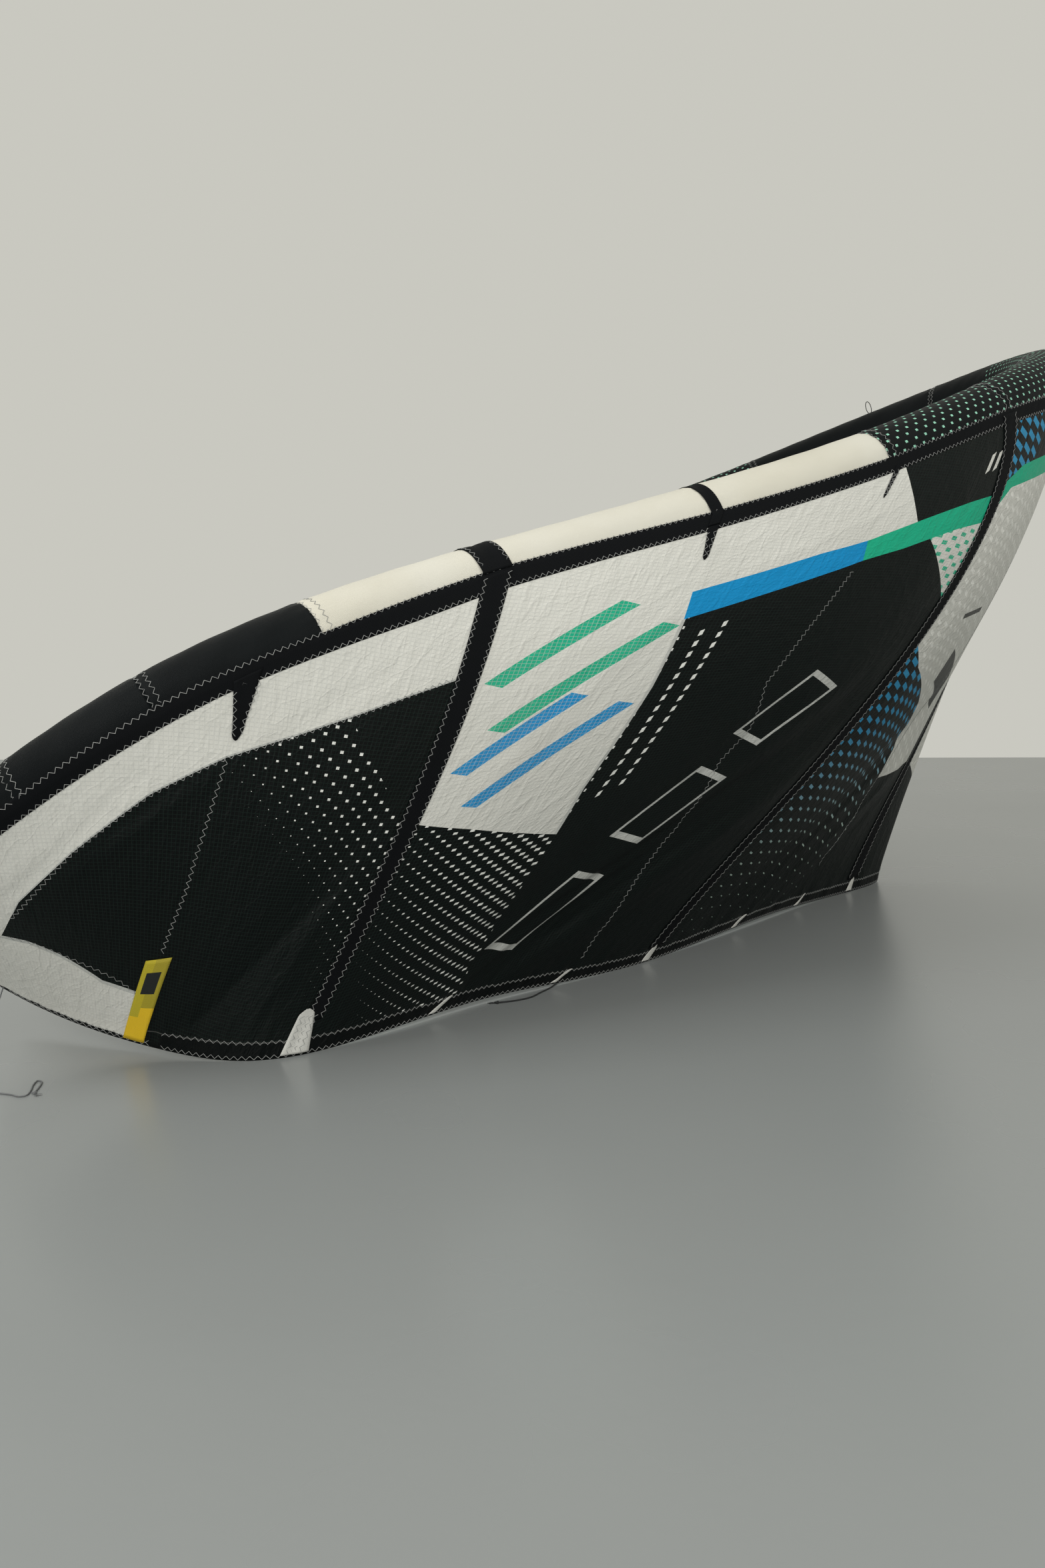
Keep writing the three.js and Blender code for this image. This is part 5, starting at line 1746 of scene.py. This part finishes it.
@dataclass
class Stitching:
    """Rows of zigzag thread on the strip, tapes, hem, tube joints, seams and patches."""

    finishes: Finishes
    tube: LeadTube
    pitch: float = 0.0084
    swing: float = 0.76
    leg: float = 0.0116
    thread: float = 0.00055
    step: float = 0.02
    rise: float = 0.0006
    strip_rise: float = 0.0014
    tape_rise: float = 0.0028
    wrap_rise: float = 0.003
    patch_rise: float = 0.0026
    tab_rise: float = 0.0040
    rows: dict[str, list[tuple[np.ndarray, np.ndarray, np.ndarray]]] = field(default_factory=dict)

    def add(self, group: str, points: np.ndarray, lifts: np.ndarray) -> None:
        """Spaces one row of legs evenly along a line of points.

        Args:
            group: The piece that the row belongs to.
            points: The line.
            lifts: The outward direction at each of its points.
        """
        run = np.concatenate([[0], np.cumsum(np.linalg.norm(np.diff(points, axis=0), axis=1))])
        count = max(2, int(run[-1] / self.pitch))
        at = (np.arange(count) + 0.5) * run[-1] / count
        even = [np.stack([np.interp(at, run, each[:, k]) for k in range(3)], -1) for each in (points, lifts)]
        ways = unit(np.gradient(even[0], axis=0))
        self.rows.setdefault(group, []).append((even[0], ways, unit(even[1])))

    def on_sail(self, group: str, along: np.ndarray, down: np.ndarray, rise: float) -> None:
        """A row on the sail, a little above it."""
        self.add(group, FORM.off(along, down, rise), FORM.normal(along, down))

    def drawn(self, group: str, spots: tuple[tuple[float, float], ...], sides: tuple[Side, ...] = tuple(Side)) -> None:
        """A row through places given as metres along and down.

        Args:
            group: The piece that the row belongs to.
            spots: The places.
            sides: Halves of the kite that have it.
        """
        rows = np.array(spots)
        run = np.concatenate([[0], np.cumsum(np.linalg.norm(np.diff(rows, axis=0), axis=1))])
        at = lanes(0, run[-1], self.step)
        away, metres = (np.interp(at, run, rows[:, k]) for k in (0, 1))
        for side in sides:
            along = side.value * away
            down = np.minimum(metres / FORM.station(along).length, 0.995)
            self.on_sail(f"{group}_{side.tag}", along, down, self.rise)

    def on_tube(self, group: str, along: float, turns: np.ndarray, rise: float) -> None:
        """A row round the tube."""
        place = np.full(len(turns), along)
        points = self.tube.rings(np.array([along]), turns, rise)[0]
        self.add(group, points, points - FORM.centre(place))

    def strip_rows(self) -> None:
        """Both edges of the closing strip."""
        along = lanes(-HALF_SPAN + 0.01, HALF_SPAN - 0.01, self.step)
        edge = self.tube.strip_row(along, -0.8, self.strip_rise)
        self.add("strip", edge, edge - FORM.centre(along))
        self.on_sail("strip", along, FORM.band(along) * 0.88, self.strip_rise)

    def tape_rows(self) -> None:
        """Both edges of each tape."""
        for index, tag in STRUTS:
            group = "tapes_far" if index < 0 else "tapes_near"
            share = lanes(0.006, 0.92 if abs(index) == 2 else 0.968, 0.01)
            for across in (-TAPE_HALF + 0.005, TAPE_HALF - 0.005):
                self.on_sail(group, FORM.strut(index, share) + across, share, self.tape_rise)

    def joint_rows(self, side: Side) -> None:
        """Two rows at each joint of the tube, and the edges of the outer strut's wrap."""
        group = f"joints_{side.tag}"
        for joint in (*JOINTS[:3], *JOINTS[5:], TIP_JOINT):
            for gap in (-0.002, -0.021):
                self.on_tube(group, side.value * (joint + gap), lanes(0.1, 5.9, 0.08), self.rise)
        for across in (-0.028, 0.028):
            self.on_tube(group, side.value * STRUT_TOP[2] + across, lanes(0.1, 2.7, 0.08), self.wrap_rise)

    def hem_rows(self, side: Side) -> None:
        """Two rows along the hem, which is narrow past the tip tab."""
        group = f"hem_{side.tag}"
        for low, high, width in ((0.01, 3.44, HEM_BAND), (3.5, 4.10, 0.012)):
            away = side.value * lanes(low, high, self.step)
            length = FORM.station(away).length
            self.on_sail(group, away, 1 - width / length, self.rise)
            self.on_sail(group, away, 1 - 0.006 / length, self.rise)

    def patch_rows(self, side: Side) -> None:
        """Both edges of each finger, and four rows on the outer strut's tab."""
        group = f"patches_{side.tag}"
        for shape in FINGERS:
            part = lanes(0.02, 0.93, 0.03)
            half = np.maximum(shape.half(part, 0.004), 0.001)
            centre = shape.centre(side, part)
            down = (table(BAND_SHOWN, centre) + (shape.length - 0.003) * part) / FORM.station(centre).length
            for sign in (-1, 1):
                self.on_sail(group, centre + sign * half, down, self.patch_rise)
        for each in side.value * (2.75 + np.linspace(-0.03, 0.03, 4)):
            metres = lanes(0.012, 0.10, 0.01)
            place = np.full(len(metres), each)
            self.on_sail(group, place, 1 - metres / FORM.station(place).length, self.tab_rise)

    def build(self) -> None:
        """Collects every row and turns each group into one piece."""
        self.strip_rows()
        self.tape_rows()
        for side in Side:
            self.joint_rows(side)
            self.hem_rows(side)
            self.patch_rows(side)
        for seam in SEAMS:
            self.drawn("seams", seam)
        tree = StitchTree()
        for group, rows in self.rows.items():
            points, ways, lifts = (np.concatenate([row[k] for row in rows]) for k in range(3))
            obj = tree.run(f"stitches_{group}", points, ways, lifts, (self.leg, self.thread, self.swing),
                           self.finishes.thread)
            dress(obj, self.finishes.thread, Slot.TRIM)


@dataclass
class Studio:
    """Camera, floor and lights."""

    spot: tuple[float, float, float] = (-2.243, -3.815, 0.865)
    turn: float = -15.40
    pitch: float = 6.32
    roll: float = -0.13
    lens: float = 27.67
    floor_half: float = 6.5

    def camera(self) -> None:
        """The camera at the photograph's place."""
        data = bpy.data.cameras.new("camera")
        data.sensor_fit = "VERTICAL"
        data.sensor_height = 36.0
        data.lens = self.lens
        obj = bpy.data.objects.new("camera", data)
        bpy.context.scene.collection.objects.link(obj)
        obj.matrix_world = (
            Matrix.Translation(self.spot)
            @ Matrix.Rotation(math.radians(self.turn), 4, "Z")
            @ Matrix.Rotation(math.radians(90 - self.pitch), 4, "X")
            @ Matrix.Rotation(math.radians(self.roll), 4, "Z")
        )
        bpy.context.scene.camera = obj

    def floor(self) -> None:
        """A plain pale floor with a soft shine."""
        p = Painter("floor_pale")
        tone = p.noise(0.9, 4.0)
        colour = p.mix(tone, (0.262, 0.278, 0.280, 1), (0.290, 0.307, 0.310, 1))
        finish = p.finish(colour, 0.24 + tone * 0.08, p.noise(30.0, 2.0), 0.0002, Specular_IOR_Level=0.5)
        half = self.floor_half
        turn = Matrix.Rotation(math.radians(self.turn), 3, "Z")
        corners = [turn @ Vector((x * half - 0.5, y * half - 1.1, 0.0))
                   for x, y in ((-1, -1), (1, -1), (1, 1), (-1, 1))]
        mesh = bpy.data.meshes.new("floor")
        mesh.from_pydata(corners, [], [(0, 1, 2, 3)])
        mesh.materials.append(finish)
        obj = bpy.data.objects.new("floor", mesh)
        bpy.context.scene.collection.objects.link(obj)

    def lamp(self, name: str, spot: tuple[float, float, float], aim: tuple[float, float, float], size: float,
             power: float) -> None:
        """A large soft lamp.

        Args:
            name: Its name.
            spot: Its place.
            aim: What it points at.
            size: Side of its square.
            power: Watts.
        """
        data = bpy.data.lights.new(name, "AREA")
        data.size = size
        data.energy = power
        data.color = (1.0, 0.985, 0.955)
        obj = bpy.data.objects.new(name, data)
        bpy.context.scene.collection.objects.link(obj)
        obj.location = spot
        obj.rotation_euler = (Vector(aim) - Vector(spot)).to_track_quat("-Z", "Y").to_euler()

    def light(self) -> None:
        """Even pale surroundings and three soft lamps."""
        world = bpy.data.worlds.new("pale")
        world.use_nodes = True
        back = world.node_tree.nodes["Background"]
        back.inputs[0].default_value = (0.615, 0.61, 0.555, 1)
        back.inputs[1].default_value = 0.95
        bpy.context.scene.world = world
        bpy.context.scene.view_settings.view_transform = "Standard"
        self.lamp("lamp_left", (-4.2, -1.6, 3.6), (-1.4, -0.8, 0.6), 1.6, 50.0)
        self.lamp("lamp_right", (0.6, -3.4, 3.8), (-0.8, -0.8, 0.8), 1.6, 35.0)
        self.lamp("lamp_front", (-4.6, -6.4, 2.6), (-1.2, -1.0, 0.8), 3.6, 150.0)

    def build(self) -> None:
        """Sets all of it up."""
        self.camera()
        self.floor()
        self.light()


def main() -> None:
    """Builds the kite, piece by piece, and the studio round it."""
    Studio().build()
    finishes = Finishes()
    Cords(finishes).build()
    tube = LeadTube(finishes)
    tube.build()
    Struts(finishes).build()
    Sail(finishes).build()
    Trims(finishes, tube).build()
    Stitching(finishes, tube).build()


if __name__ == "__main__":
    logging.basicConfig(level=logging.INFO, format="%(name)s %(message)s")
    main()
